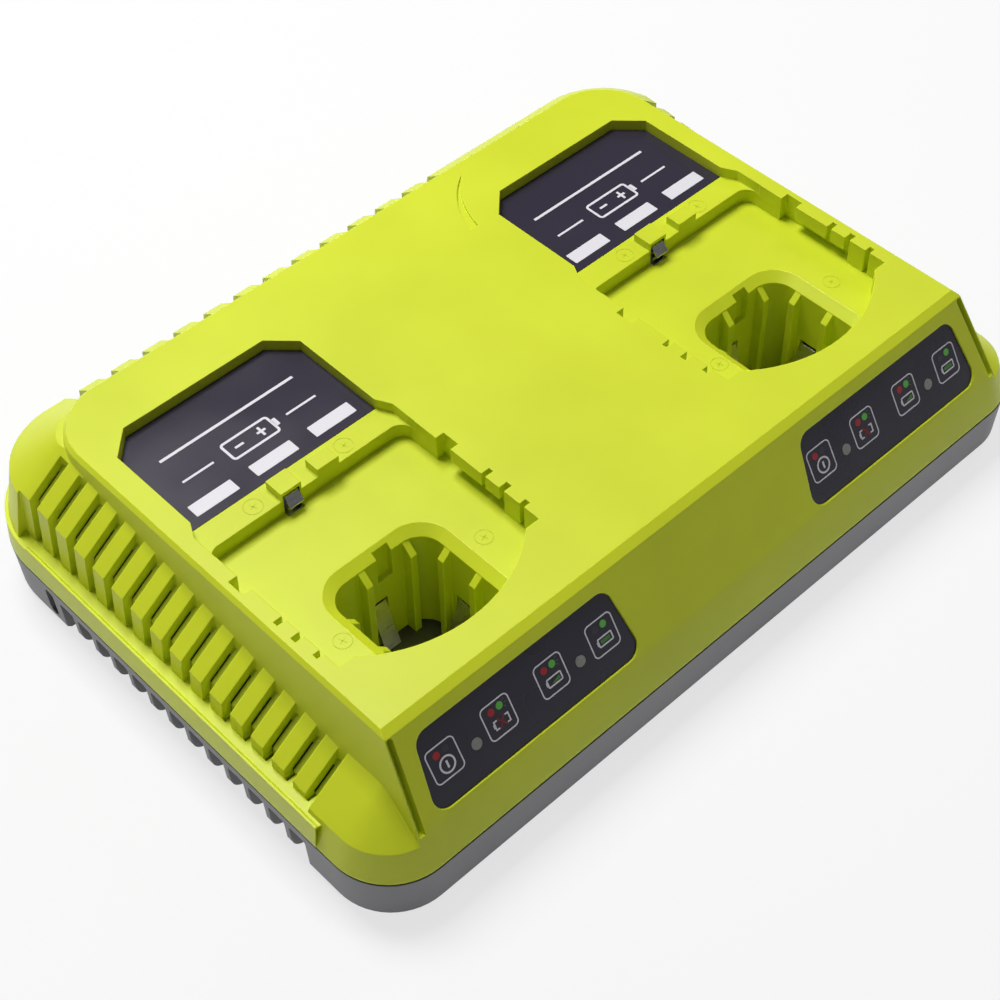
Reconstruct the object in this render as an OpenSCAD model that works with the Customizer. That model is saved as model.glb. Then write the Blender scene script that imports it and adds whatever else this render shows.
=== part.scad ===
// Two-bay charger for stem-type power tool batteries.
// X runs along the front to the right, Y runs to the back, Z is up.
// The origin is the centre of the footprint on the table.

/* [Housing] */
// Width over the joint between the two housings
body_w = 246.2; // [240:0.2:256]
// Depth over the joint between the two housings
body_d = 171.7; // [168:0.1:178]
// Height of the deck above the table
deck_z = 51; // [50:0.5:54]
// Height of the joint between the two housings
joint_z = 16; // [15:0.5:17]
// Corner radius at the front, in plan
front_r = 18; // [16:1:20]
// Corner radius at the back, in plan
back_r = 28; // [24:1:32]
// Wall thickness of both housings
wall = 2.4; // [2:0.1:2.8]
// Height of the shadow groove above the joint
shadow_h = 0.5; // [0.3:0.1:0.8]
// Depth of the shadow groove
shadow_d = 0.9; // [0.6:0.1:1.1]
// Height of the feet below the lower housing
foot_h = 1.4; // [1:0.1:2]

/* [Shoulders] */
// Height of the ledge that the slats stand on
ledge_z = 23.6; // [22:0.2:25]
// How far the ledge reaches out past the slats
ledge_w = 3.3; // [2.5:0.1:4]
// Lean of the ledge's outer wall, sideways shift per height
ledge_draft = 0.08; // [0.04:0.01:0.12]
// Lean of the front wall and front corners below the front face
front_draft = 0.33; // [0.28:0.01:0.38]
// Lean of the walls at the two back corners
back_draft = 0.21; // [0.18:0.01:0.24]
// Height of the slats' knees at mid depth
knee_z = 31.9; // [31:0.1:33]
// Rise of the shoulder towards the back, per length
shoulder_rise = 0.1155; // [0.1:0.0005:0.125]
// Steepness of the shoulder across its width, in degrees
shoulder_slope = 35.5; // [34:0.1:37]
// Height of the outer edge of the front blocks' roof
pod_edge_z = 25; // [24.2:0.1:26]
// Steepness of that roof, in degrees
pod_slope = 36; // [34:0.5:38]
// Height of the flat terraces at the back corners
terrace_z = 48.5; // [48:0.1:49]

/* [Slats] */
// Number of air channels on each side
side_channels = 15; // [12:1:15]
// Pitch of the side slats
side_pitch = 7.874; // [7.6:0.05:7.9]
// Width of a side slat
side_slat_w = 4.5; // [4:0.1:5]
// Back end of the first side channel
side_start_y = 57.2; // [56:0.1:58]
// Number of slats along the back
back_slats = 12; // [9:1:12]
// Pitch of the back slats
back_pitch = 10.65; // [10:0.05:10.7]
// Width of a back slat
back_slat_w = 6.4; // [5:0.1:7]
// Left end of the first back slat
back_start_x = -84.9; // [-87:0.1:-84]
// Depth of the channels between the slats
channel_depth = 3; // [2.5:0.1:3.3]
// Thickness of the channels' floors
channel_wall = 1.3; // [1:0.1:1.8]
// Width of the air slit in each channel
slit_w = 0.9; // [0.7:0.1:1.3]

/* [Deck] */
// Half width of the deck
deck_half_w = 103.7; // [103:0.1:105]
// Back edge of the deck
deck_back_y = 67.75; // [66:0.25:69]
// Front edge of the deck
deck_front_y = -67.25; // [-69:0.25:-66]
// Corner radius of the deck at the back
deck_r = 18; // [14:1:22]
// Lean of the deck's side walls, sideways shift per height
deck_draft = 0.14; // [0.12:0.005:0.17]
// Lean of the front face from upright, in degrees
front_lean = 32; // [30:0.5:34]
// Chamfer along the deck's edges
deck_chamfer = 1.1; // [0.6:0.1:1.6]
// Width of the groove down each corner of the front face
groove_w = 1.8; // [1.4:0.1:2]
// Depth of that groove
groove_d = 3; // [1.5:0.1:3.2]
// Drop of the bevel along the deck's front edge
front_bevel = 0.9; // [0.5:0.1:1.4]
// Steepness of that bevel, in degrees
front_bevel_slope = 30; // [22:1:38]
// Depth of the crescent step in the deck
crescent_depth = 0.8; // [0.5:0.1:1.2]

/* [Battery bays] */
// Distance between the two bays
bay_pitch = 134; // [133:0.5:136]
// Depth of the battery tray below the deck
tray_depth = 8.2; // [7.5:0.1:9]
// Widest half width of the tray
tray_half_w = 35.2; // [34.8:0.1:35.4]
// Half width of the tray between its upper hook tabs
tab_half_w = 32.5; // [32:0.1:33.5]
// Height left free under the hook tabs
tab_lift = 3.7; // [3:0.1:4.5]
// Front edge of the tray
tray_front_y = -56.75; // [-58:0.25:-56]
// Front of the shelf at the back of the tray
shelf_y = 5.05; // [4.5:0.05:5.5]
// Depth of the label recess and shelf below the deck
shelf_depth = 3.4; // [3:0.1:4]
// Back edge of the label recess
label_back_y = 50.35; // [49:0.05:51]
// Front edge of the label
label_front_y = 13.05; // [12.8:0.05:14]
// Half width of the label at its front
label_half_w = 30.1; // [29:0.1:30.5]
// Size of the label's cut back corners
label_corner = 7.2; // [6:0.1:8]
// Label thickness
label_t = 0.6; // [0.4:0.1:0.8]
// Half width of the stem well
well_half_w = 16.35; // [16:0.05:17]
// Sideways offset of the well from the bay's centre
well_shift = -0.95; // [-1.5:0.05:0]
// Back wall of the well
well_back_y = -21.25; // [-22:0.05:-20.5]
// Front wall of the well
well_front_y = -55.6; // [-56:0.05:-55]
// Corner radius of the well
well_r = 7; // [5.5:0.5:8]
// Wall of the well
well_wall = 2; // [1.6:0.1:2.2]
// Lower end of the well above the table
well_low_z = 6.6; // [6.2:0.1:8]
// Width of the sloped rim round the well
rim_w = 3; // [2:0.1:3.2]

/* [Status panels] */
// Half width of the panel at its upper edge
panel_top_half_w = 31.8; // [30:0.1:32.5]
// Half width of the panel at its lower edge
panel_low_half_w = 33.8; // [32.6:0.1:34.5]
// Distance of the panel's upper edge below the deck's front edge
panel_top_s = 5.5; // [4.5:0.1:6.5]
// Height of the panel along the front face
panel_h = 20.8; // [19.5:0.1:21.5]
// Corner radius of the panel
panel_r = 4; // [3:0.5:5]
// Panel thickness
panel_t = 0.8; // [0.6:0.1:1]
// How far the panel lies below the front face
panel_sink = 0.5; // [0.3:0.1:0.6]
// Distance of the indicator windows below the deck's front edge
window_s = 17.6; // [16.5:0.1:18]
// Half distance between the two windows of a panel
window_half = 17.2; // [16:0.1:18]
// Radius of an indicator window
window_r = 1.5; // [1.3:0.05:1.6]

/* [Lower housing] */
// Lean of its wall, sideways shift per height
base_draft = 0.05; // [0.03:0.01:0.08]
// Chamfer round its lower edge
base_chamfer = 1.2; // [0.8:0.1:1.6]
// Floor thickness
floor_t = 2.2; // [1.8:0.1:2.4]
// Width of a comb gap
notch_w = 6.2; // [5.4:0.1:6.4]
// Depth of a comb gap
notch_d = 4.8; // [4:0.1:5]
// Top of the comb gaps
notch_top_z = 13; // [12:0.1:13.6]
// Number of comb gaps on each side
notches = 14; // [12:1:14]
// Radius that rounds the lower corners of the comb's ribs
rib_round = 4.5; // [3:0.5:5]
// Height of the locating rim inside the joint
rim_h = 2; // [1.5:0.1:2.4]
// Thickness of the locating rim
rim_t = 1.1; // [0.9:0.1:1.2]
// Radius of the feet
foot_r = 6; // [5:0.5:7]

/* [Contacts and clips] */
// Width of a contact leaf
leaf_w = 5; // [4.4:0.1:5.4]
// Thickness of a contact leaf
leaf_t = 0.5; // [0.4:0.05:0.6]
// How far a leaf's crest stands into the well
leaf_reach = 4.5; // [3.8:0.1:5]
// Height of a leaf's upper end
leaf_top_z = 22.6; // [21.5:0.1:23.5]
// Clear space round a leaf in its wall window and holder
leaf_gap = 0.6; // [0.5:0.05:0.8]
// Width of the retaining clip
clip_w = 4.4; // [4:0.1:4.8]
// Thickness of the retaining clip
clip_t = 0.5; // [0.4:0.05:0.6]
// How far the clip's nose stands out of the shelf
clip_reach = 1.9; // [1.5:0.1:2.3]

/* [Fasteners] */
// Radius of the case screws' threads
screw_r = 1.4; // [1.3:0.05:1.6]
// Radius of the case screws' heads
screw_head_r = 2.8; // [2.6:0.1:3.2]
// Outer radius of the screw bosses
boss_r = 3.6; // [3.4:0.1:4.2]
// Clearance round a screw
screw_gap = 0.05; // [0.03:0.01:0.1]

/* [Circuit board] */
// Thickness of the circuit boards
board_t = 1.6; // [1.2:0.1:2]
// Width of the main board
board_w = 82; // [80:1:84]
// Depth of the main board
board_d = 118; // [112:1:120]
// Height of the main board's underside above the table
board_z = 8; // [7.5:0.1:9]
// Depth of the indicator boards behind the front face
led_board_drop = 7.8; // [7.7:0.1:8.4]
// Radius of the transformer's centre leg
core_leg_r = 5; // [4.5:0.1:5.5]

/* [Mains inlet] */
// Sideways position of the inlet
inlet_x = 28; // [24:1:32]
// Width of the inlet's opening
inlet_w = 16; // [15:0.1:16.4]
// Height of the inlet's opening
inlet_h = 8.4; // [8:0.1:8.8]
// Radius of the inlet's pins
pin_r = 1.2; // [1.1:0.05:1.3]

/* [Hidden] */
$fn = 64;
// Facets of small round parts
small_fn = 24;
half_w = body_w / 2;
half_d = body_d / 2;
// Any length that is surely longer than the body
reach = 400;
// Overlap of joined solids and run-out of cuts
over = 1;
bay_x = [-bay_pitch / 2, bay_pitch / 2];
slat_half_w = half_w - ledge_w - ledge_draft * (ledge_z - joint_z);
knee_half_w = slat_half_w - ledge_draft * (knee_z - joint_z);
back_knee_z = knee_z + shoulder_rise * (half_d - back_r);
back_knee_y = half_d - back_draft * (back_knee_z - joint_z);
pod_front_y = side_start_y - side_channels * side_pitch + side_slat_w;
// Front end of the ledge
step_y = pod_front_y - 5;
// Square blocks that fill the tower's round back corners
corner_fill_w = deck_half_w + deck_chamfer + 0.95;
corner_fill_front = deck_back_y - deck_r - 2;
corner_fill_back = deck_back_y + deck_chamfer + 0.75;
base_low_z = foot_h;
floor_z = base_low_z + floor_t;
tray_z = deck_z - tray_depth;
// Middle of the retaining clip, sideways from the bay's centre
clip_x = -4.8;
pocket_low_z = tray_z - 1.4;
shelf_z = deck_z - shelf_depth;
panel_seat = panel_t + panel_sink;
pipe_low = wall + 2;
// Half width of the tray's neck at the shelf
neck_w = 32.6;
tray_back_r = 4;
// Hook tab gaps of the tray, as [front end, length, narrowing]
tab_gaps = [[-13.7, 5.5, 0], [-26.7, 1.5, 0], [-33.5, 1.8, 0], [-40.7, 1.6, 0.6]];
// Guide ribs in the well: sideways places on the back wall, depth places on the side walls
back_ribs = [-5.1, 9.5];
side_ribs = [-30.75, -42.35];
// Depth position of the two side contacts
contact_y = -36.5;
contact_foot_z = 5;
contact_foot_y = -4.4;
// Path of a leaf: foot in its holder, under the well wall, up to the crest and out to its window
leaf_path = [
    [contact_foot_y, contact_foot_z], [1.4, contact_foot_z], [leaf_reach, 9.5], [-0.4, leaf_top_z],
];
notch_start_y = side_start_y - 8.4;
foot_seat = 1;
// Shift that makes the 45 degree chamfer end on the wall
base_step = (base_draft - 1) * (joint_z - base_low_z - base_chamfer);
screw_xy = [
    [-half_w + 14, -half_d + 17],
    [half_w - 14, -half_d + 17],
    [-half_w + 17, half_d - 21],
    [half_w - 17, half_d - 21],
    [0, -half_d + 12],
    [0, half_d - 10],
];
board_y = 0;
board_screw_xy = [
    for (x = [-board_w / 2 + 4, board_w / 2 - 4])
        for (y = [board_y - board_d / 2 + 4, board_y + board_d / 2 - 4]) [x, y]
];
board_top_z = board_z + board_t;
led_board_w = 46;
led_board_h = 11;
led_post_x = led_board_w / 2 - 2;
stake_r = 0.8;
foot_xy = [for (x = [-half_w + 28, half_w - 28]) for (y = [-half_d + 14, half_d - 16]) [x, y]];
hang_x = 70;
hang_y = 40;
hang_head_r = 4.2;
hang_shank_r = 2.1;
hang_slot = 9;
transformer_at = [14, 4];
transformer_w = 33;
transformer_d = 12;
transformer_h = 22;
core_yoke = 6;
choke_at = [24, 40];
choke_inner_r = 5;
choke_w = 4;
choke_h = 7;
// Feet of the transformer's bobbin: length, depth and distance from the middle
bobbin_foot_w = 20;
bobbin_foot_d = 5;
bobbin_foot_y = 10.5;
// Capacitors: place, radius, height above the waist, foot below it and depth of the waist
bulk_at = [-24, 36];
bulk_r = 9;
bulk_h = 20;
bulk_foot_h = 1.5;
bulk_waist = 0.4;
output_x = [-26, -12, 12, 26];
output_y = -36;
output_r = 5;
output_h = 16;
output_foot_h = 1;
output_waist = 0.3;
fuse_at = [2, 50];
fuse_len = 20;
fuse_r = 2.5;
// Height of the fuse's axis above the board
fuse_z = 5;
fuse_clip_x = 7.5;
fuse_clip_w = 4;
fuse_clip_t = 0.5;
// Heat sink: plate, and fins that start inside it
sink_at = [-24, -16];
sink_t = 3;
sink_d = 36;
sink_h = 24;
fin_reach = 8;
fin_start = 1.5;
fin_pitch = 6;
fin_t = 1.6;
// Power transistors that stand against the plate
transistor_w = 10;
transistor_t = 4.4;
transistor_h = 9;
transistor_tab_h = 15;
transistor_tab_t = 1.3;
transistor_lift = 4;
transistor_start = 4;
transistor_pitch = 16;
lead_pitch = 2.6;
// Board connectors
plug_x = 36;
plug_y = [-50, -24];
plug_w = 6;
plug_d = 14;
plug_h = 7;
plug_wall = 1;
plug_floor = 2;
inlet_flange_w = inlet_w + 4.4;
inlet_flange_h = inlet_h + 3.4;
inlet_z = joint_z - 1 - inlet_flange_h / 2;
inlet_pin_x = 4.3;
LIME = [0.82, 0.87, 0.2];
GREY = [0.42, 0.42, 0.43];
DARK = [0.2, 0.18, 0.27];

// ---------- shared forms ----------

// Upright block with round corners whose walls lean in by draft per height; sizes hold at the joint
module drafted_block(w, front, back, r_front, r_back, low, high, draft) {
    w_low = w - draft * (low - joint_z);
    shift = draft * (high - low);
    front_low = front + draft * (low - joint_z);
    back_low = back - draft * (low - joint_z);
    rf = r_front - draft * (low - joint_z);
    rb = r_back - draft * (low - joint_z);
    middle = (front + back) / 2;
    translate([0, back_low - rb, 0]) rotate([90, 0, 0])
        linear_extrude(back_low - rb - front_low - rf)
            polygon([[-w_low, low], [w_low, low], [w_low - shift, high], [-w_low + shift, high]]);
    translate([-(w_low - rf), 0, 0]) rotate([90, 0, 90])
        linear_extrude(2 * (w_low - rf))
            polygon([[front_low, low], [middle, low], [middle, high], [front_low + shift, high]]);
    translate([-(w_low - rb), 0, 0]) rotate([90, 0, 90])
        linear_extrude(2 * (w_low - rb))
            polygon([[middle, low], [back_low, low], [back_low - shift, high], [middle, high]]);
    for (side = [-1, 1]) {
        translate([side * (w_low - rf), front_low + rf, low])
            cylinder(h = high - low, r1 = rf, r2 = rf - shift);
        translate([side * (w_low - rb), back_low - rb, low])
            cylinder(h = high - low, r1 = rb, r2 = rb - shift);
    }
}

// Everything on the inner side of a plane that faces compass degrees from +X and leans in by lean
module inside_plane(at, compass, lean) {
    translate(at) rotate([0, -lean, compass])
        translate([-reach, -reach / 2, -reach / 2]) cube(reach);
}

// Everything behind the front face
module behind_front(inset) {
    inside_plane([0, deck_front_y + inset, deck_z], -90, front_lean);
}

// Everything below the two side shoulders and the back shoulder
module below_caps(inset) {
    corner_x = half_w - back_r;
    corner_y = half_d - back_r;
    knee_r = back_r - back_draft * (back_knee_z - joint_z);
    apex_z = back_knee_z + knee_r * tan(shoulder_slope) - inset / cos(shoulder_slope);
    intersection() {
        for_both_caps(inset);
        inside_plane([0, back_knee_y, back_knee_z - inset / cos(shoulder_slope)], 90, 90 - shoulder_slope);
        union() {
            translate([-corner_x, -reach / 2, -reach / 2]) cube([2 * corner_x, reach, reach]);
            translate([-reach / 2, -reach + corner_y, -reach / 2]) cube([reach, reach, reach]);
            for (side = [-1, 1])
                translate([side * corner_x, corner_y, 0])
                    cylinder(h = apex_z, r1 = apex_z / tan(shoulder_slope), r2 = 0, $fn = 96);
        }
    }
}

module for_both_caps(inset) {
    intersection() {
        side_cap(inset);
        mirror([1, 0, 0]) side_cap(inset);
    }
}

module side_cap(inset) {
    translate([knee_half_w, 0, knee_z]) rotate([0, shoulder_slope, 0])
        rotate([atan(shoulder_rise * cos(shoulder_slope)), 0, 0])
            translate([-reach / 2, -reach / 2, -reach - inset]) cube([reach, reach, reach]);
}

// Envelope of the slats; a larger inset gives the floors of the channels
module slat_form(inset, low) {
    intersection() {
        drafted_block(slat_half_w - inset, -half_d + ledge_w + inset, half_d - ledge_w - inset,
            front_r, back_r - 6, low, terrace_z - inset, ledge_draft);
        below_caps(inset);
        behind_front(inset);
    }
}

// Back corner blocks
module pod_form(inset, low) {
    intersection() {
        drafted_block(half_w - inset, -half_d + inset, half_d - inset, front_r, back_r - inset,
            low, terrace_z - inset, back_draft);
        below_caps(inset);
    }
}

// Front wall with its two corner blocks under level roofs, up to a given height and back to a given depth
module front_form(inset, low, high, back) {
    slope = tan(pod_slope);
    drop = inset / cos(pod_slope);
    // Height where the roof meets the wall
    edge_z = (pod_edge_z - drop + (inset - front_draft * pod_edge_z) * slope) / (1 - front_draft * slope);
    extra = (1 / slope - front_draft) * (edge_z - joint_z);
    roof_h = (front_r - inset - front_draft * (edge_z - joint_z) - 0.3) * slope;
    // Inside, the roof's block is a little smaller and overlaps the block below it
    step = inset > 0 ? 0.4 : 0;
    intersection() {
        union() {
            drafted_block(half_w - inset, -half_d + inset, half_d - inset, front_r - inset, back_r,
                low, edge_z, front_draft);
            drafted_block(half_w - inset + extra - step, -half_d + inset - extra + step,
                half_d - inset + extra - step, front_r - inset + extra - step, back_r + extra - step,
                edge_z - step / 2, edge_z + roof_h - step, 1 / slope);
        }
        behind_front(inset);
        translate([-reach / 2, -reach + back, high - reach]) cube([reach, reach, reach]);
    }
}

// Lower skirt below the ledge, whose front ends run out in slanting faces
module ledge_form(inset, low) {
    end_x = slat_half_w - 0.3;
    end_y = pod_front_y - 1 + inset;
    difference() {
        intersection() {
            drafted_block(half_w - inset, -half_d + inset, half_d - inset, front_r - inset, back_r - inset,
                low, ledge_z - inset, ledge_draft);
            translate([-reach / 2, step_y + inset, 0]) cube([reach, reach, reach]);
        }
        for (side = [-1, 1])
            linear_extrude(deck_z)
                polygon([
                    [side * end_x, end_y], [side * (end_x + 12), end_y - 12], [side * end_x, end_y - 12],
                ]);
    }
}

// Square blocks between the terraces and the tower's round back corners
module corner_fill(inset, low) {
    w = corner_fill_w - inset;
    intersection() {
        translate([-w, corner_fill_front, low])
            cube([2 * w, corner_fill_back - inset - corner_fill_front, terrace_z - inset - low]);
        below_caps(inset);
    }
}

// Tower that carries the deck
module tower_form(inset, low) {
    high = deck_z - inset;
    edge_z = high - deck_chamfer;
    foot_w = deck_half_w + deck_draft * (deck_z - joint_z) + deck_chamfer - inset;
    foot_y = deck_back_y + deck_draft * (deck_z - joint_z) + deck_chamfer - inset;
    foot_r = deck_r + deck_draft * (deck_z - joint_z) - inset;
    // Extra width that makes the chamfer meet the wall below it
    extra = (1 - deck_draft) * (edge_z - joint_z);
    intersection() {
        union() {
            drafted_block(foot_w, -body_d, foot_y, foot_r, foot_r, low, edge_z, deck_draft);
            drafted_block(foot_w + extra, -body_d, foot_y + extra, foot_r + extra, foot_r + extra,
                edge_z, high, 1);
        }
        behind_front(inset);
        // Outside, the tower also keeps within the round front corners
        if (inset > 0) inside_plane([0, -half_d + inset, joint_z], -90, atan(front_draft));
        else drafted_block(half_w, -half_d, half_d, front_r, back_r, low, deck_z, front_draft);
        inside_plane([0, deck_front_y + inset, deck_z - inset - front_bevel], -90, 90 - front_bevel_slope);
    }
}

// Boxes that hold the side slats, seen from above
module side_slat_boxes() {
    for (side = [-1, 1])
        for (i = [0:side_channels - 1])
            translate([side * half_w - 20, side_start_y - i * side_pitch, 0])
                cube([40, side_slat_w, deck_z]);
}

module back_slat_boxes() {
    for (i = [0:back_slats - 1])
        translate([back_start_x + i * back_pitch, half_d - 25, 0])
            cube([back_slat_w, 40, deck_z]);
}

// Boxes of the two back corner blocks
module pod_boxes(inset) {
    right_start = back_start_x + back_slats * back_pitch;
    start_y = side_start_y + side_slat_w + inset;
    translate([-reach, start_y, 0])
        cube([reach + back_start_x - (back_pitch - back_slat_w) - inset, reach, reach]);
    translate([right_start + inset, start_y, 0]) cube([reach, reach, reach]);
}

module housing_outside() {
    ledge_form(0, joint_z);
    slat_form(channel_depth, joint_z);
    intersection() {
        slat_form(0, joint_z);
        union() {
            side_slat_boxes();
            back_slat_boxes();
        }
    }
    intersection() {
        pod_form(0, joint_z);
        pod_boxes(0);
    }
    front_form(0, joint_z, deck_z, pod_front_y);
    corner_fill(0, joint_z);
    tower_form(0, joint_z);
}

module housing_inside() {
    low = joint_z - over;
    // A little thicker, so that its walls and the front form's cross above the joint
    ledge_form(wall + 0.05, low);
    slat_form(channel_depth + channel_wall, low);
    intersection() {
        pod_form(wall, low);
        pod_boxes(wall);
    }
    front_form(wall, low, deck_z, pod_front_y - wall);
    front_form(wall, low, ledge_z - wall, pod_front_y + wall);
    corner_fill(wall, low);
    tower_form(wall, low);
}

// Slits that let the warm air out along the channel floors and a little way down the wall
module air_slits() {
    slope = tan(shoulder_slope);
    gap = 0.3;
    for (side = [-1, 1])
        for (i = [0:side_channels - 1]) {
            y = side_start_y - i * side_pitch - slit_w - gap;
            // Height of the channel's floor below the slats' knee, and at the tower's foot
            floor_knee = knee_z + shoulder_rise * y - channel_depth / cos(shoulder_slope);
            run = knee_half_w - deck_half_w - deck_chamfer - deck_draft * deck_z;
            foot = (floor_knee + run * slope) / (1 - deck_draft * slope);
            start = deck_half_w + deck_chamfer + deck_draft * (deck_z - foot) + 1.5;
            translate([side > 0 ? start : -start - 15, y, floor_knee - 3]) cube([15, slit_w, 20]);
        }
    for (i = [0:back_slats])
        translate([back_start_x + i * back_pitch - slit_w - gap, back_knee_y - 9, back_knee_z - 7])
            cube([slit_w, 12, 15]);
}

// Places children on the front face: x along the front, y up the slope, z outwards
module on_front_face() {
    translate([0, deck_front_y, deck_z]) rotate([90 - front_lean, 0, 0]) children();
}

// ---------- battery bays ----------

// Octagonal outline of the label and its recess
module label_outline(grow) {
    w = label_half_w + grow;
    polygon([
        [-w, label_front_y - grow], [w, label_front_y - grow],
        [w, label_back_y + grow - label_corner], [w - label_corner, label_back_y + grow],
        [-w + label_corner, label_back_y + grow], [-w, label_back_y + grow - label_corner],
    ]);
}

// Outline of the tray floor with its bowed front
module tray_outline(w, grow) {
    bow_r = 42;
    bow_y = tray_front_y - grow + bow_r;
    side_y = -46;
    intersection() {
        translate([-w, tray_front_y - grow]) square([2 * w, shelf_y - tray_front_y + 2 * grow]);
        union() {
            translate([-w, side_y]) square([2 * w, shelf_y - side_y + grow]);
            translate([0, bow_y]) circle(r = bow_r, $fn = 100);
        }
    }
}

// Tray between its hook tabs, with round corners at the shelf
module tray_neck(half) {
    r = tray_back_r;
    translate([-half, -reach / 2]) square([2 * half, reach / 2 + shelf_y - r]);
    translate([-half + r, -reach / 2]) square([2 * half - 2 * r, reach / 2 + shelf_y]);
    for (side = [-1, 1]) translate([side * (half - r), shelf_y - r]) circle(r = r, $fn = 40);
}

// Hollow of the battery tray below the hook tabs and between them
module tray_cut() {
    wide_front = -33.5;
    wide_back = -8.2;
    translate([0, 0, tray_z]) linear_extrude(tab_lift) {
        intersection() {
            tray_outline(tray_half_w, 0);
            union() {
                translate([-tray_half_w, wide_front]) square([2 * tray_half_w, wide_back - wide_front]);
                tray_neck(neck_w);
            }
        }
    }
    translate([0, 0, tray_z]) linear_extrude(tray_depth + over) {
        intersection() {
            tray_outline(tray_half_w, 0);
            union() {
                tray_neck(tab_half_w);
                for (gap = tab_gaps)
                    translate([-tray_half_w + gap[2], gap[0]]) square([2 * (tray_half_w - gap[2]), gap[1]]);
            }
        }
    }
}

module well_outline(grow) {
    w = well_half_w + grow;
    r = well_r + grow;
    front = well_front_y - grow;
    back = well_back_y + grow;
    translate([well_shift, 0]) {
        for (x = [-w + r, w - r])
            for (y = [front + r, back - r])
                translate([x, y]) circle(r = r);
        translate([-w, front + r]) square([2 * w, back - front - 2 * r]);
        translate([-w + r, front]) square([2 * w - 2 * r, back - front]);
    }
}

// Guide rib on a well wall, with its upper end cut to a slope; x along the wall, y into the well
module guide_rib(depth) {
    rib_w = 2;
    rib_top = tray_z - 2.4;
    translate([-rib_w / 2, 0, 0]) rotate([90, 0, 90]) linear_extrude(rib_w)
        polygon([
            [-over, well_low_z], [depth, well_low_z], [depth, rib_top - depth],
            [0, rib_top], [-over, rib_top],
        ]);
}

module well_ribs() {
    right = well_shift + well_half_w;
    left = well_shift - well_half_w;
    for (x = back_ribs) translate([x, well_back_y, 0]) rotate([0, 0, 180]) guide_rib(3.3);
    for (y = side_ribs) {
        translate([right, y, 0]) rotate([0, 0, 90]) guide_rib(2.6);
        translate([left, y, 0]) rotate([0, 0, -90]) guide_rib(2.6);
    }
}

// Position and heading of each contact: x, y of the well wall and the turn that points into the well
function plus_place(bay) = [bay + well_shift + well_half_w, contact_y, 90];
function minus_place(bay) = [bay + well_shift - well_half_w, contact_y, -90];
function sense_place(bay) = [bay - 0.45, well_back_y, 180];

// Places children at a contact: x along the wall, y into the well, z up
module at_contact(place) {
    translate([place[0], place[1], 0]) rotate([0, 0, place[2]]) children();
}

// Window in the well wall behind a leaf
module leaf_window() {
    w = leaf_w + 2 * leaf_gap;
    translate([-w / 2, -well_wall - over, 10]) cube([w, well_wall + 2 * over, leaf_top_z + 1.6 - 10]);
}

module bay_cuts(bay) {
    translate([bay, 0, 0]) {
        translate([0, 0, shelf_z - label_t]) linear_extrude(shelf_depth + label_t + over) label_outline(0.15);
        shelf_cut();
        tray_cut();
        clip_pocket();
        translate([0, 0, well_low_z - over]) linear_extrude(tray_z) well_outline(0);
        rim_cut();
        key_notch();
    }
    at_contact(plus_place(bay)) leaf_window();
    at_contact(minus_place(bay)) leaf_window();
    at_contact(sense_place(bay)) leaf_window();
}

// Sloped rim that leads the stem into the well
module rim_cut() {
    rim_drop = 2.2;
    translate([well_shift, 0, 0]) {
        for (x = [-well_half_w + well_r, well_half_w - well_r])
            for (y = [well_front_y + well_r, well_back_y - well_r])
                translate([x, y, tray_z - rim_drop])
                    cylinder(h = rim_drop + 0.01, r1 = well_r, r2 = well_r + rim_w);
        translate([0, (well_front_y + well_back_y) / 2, tray_z - rim_drop]) {
            rim_prism(well_half_w - well_r, (well_back_y - well_front_y) / 2, rim_drop);
            rotate([0, 0, 90]) rim_prism((well_back_y - well_front_y) / 2 - well_r, well_half_w, rim_drop);
        }
    }
}

// Trapezoid prism of the rim: half length along x, half width across
module rim_prism(length, half, drop) {
    translate([-length, 0, 0]) rotate([90, 0, 90]) linear_extrude(2 * length)
        polygon([[-half, 0], [half, 0], [half + rim_w, drop + 0.01], [-half - rim_w, drop + 0.01]]);
}

// Notch in the back wall of the well that keys the stem
module key_notch() {
    key_w = 5;
    key_d = 1.8;
    key_h = 11.5;
    translate([0, well_back_y - over, tray_z - key_h]) cube([key_w, key_d + over, key_h + over]);
}

// Shelf between the label and the tray
module shelf_cut() {
    slant = 4.5;
    half = label_half_w + 0.15;
    low_y = shelf_y - tray_back_r - over;
    translate([0, 0, shelf_z]) linear_extrude(shelf_depth + over) polygon([
        [half, label_front_y + over], [half, label_front_y], [neck_w, label_front_y - slant],
        [neck_w, low_y], [-neck_w, low_y],
        [-neck_w, label_front_y - slant], [-half, label_front_y], [-half, label_front_y + over],
    ]);
}

// Raised blocks at the front of the shelf
module shelf_blocks() {
    block_h = 2.6;
    for (x = [-8, 4])
        translate([x, shelf_y, shelf_z - over]) cube([x < 0 ? 6.5 : 7, x < 0 ? 6.2 : 5, block_h + over]);
}

// Pocket for the retaining clip
module clip_pocket() {
    pocket_w = clip_w + 1;
    pocket_d = 5;
    translate([clip_x - pocket_w / 2, shelf_y - over, pocket_low_z])
        cube([pocket_w, over + pocket_d, shelf_z + 1.6 - pocket_low_z]);
    translate([clip_x - pocket_w / 2, shelf_y - 1.6, pocket_low_z])
        cube([pocket_w, 2, 3]);
}

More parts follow.
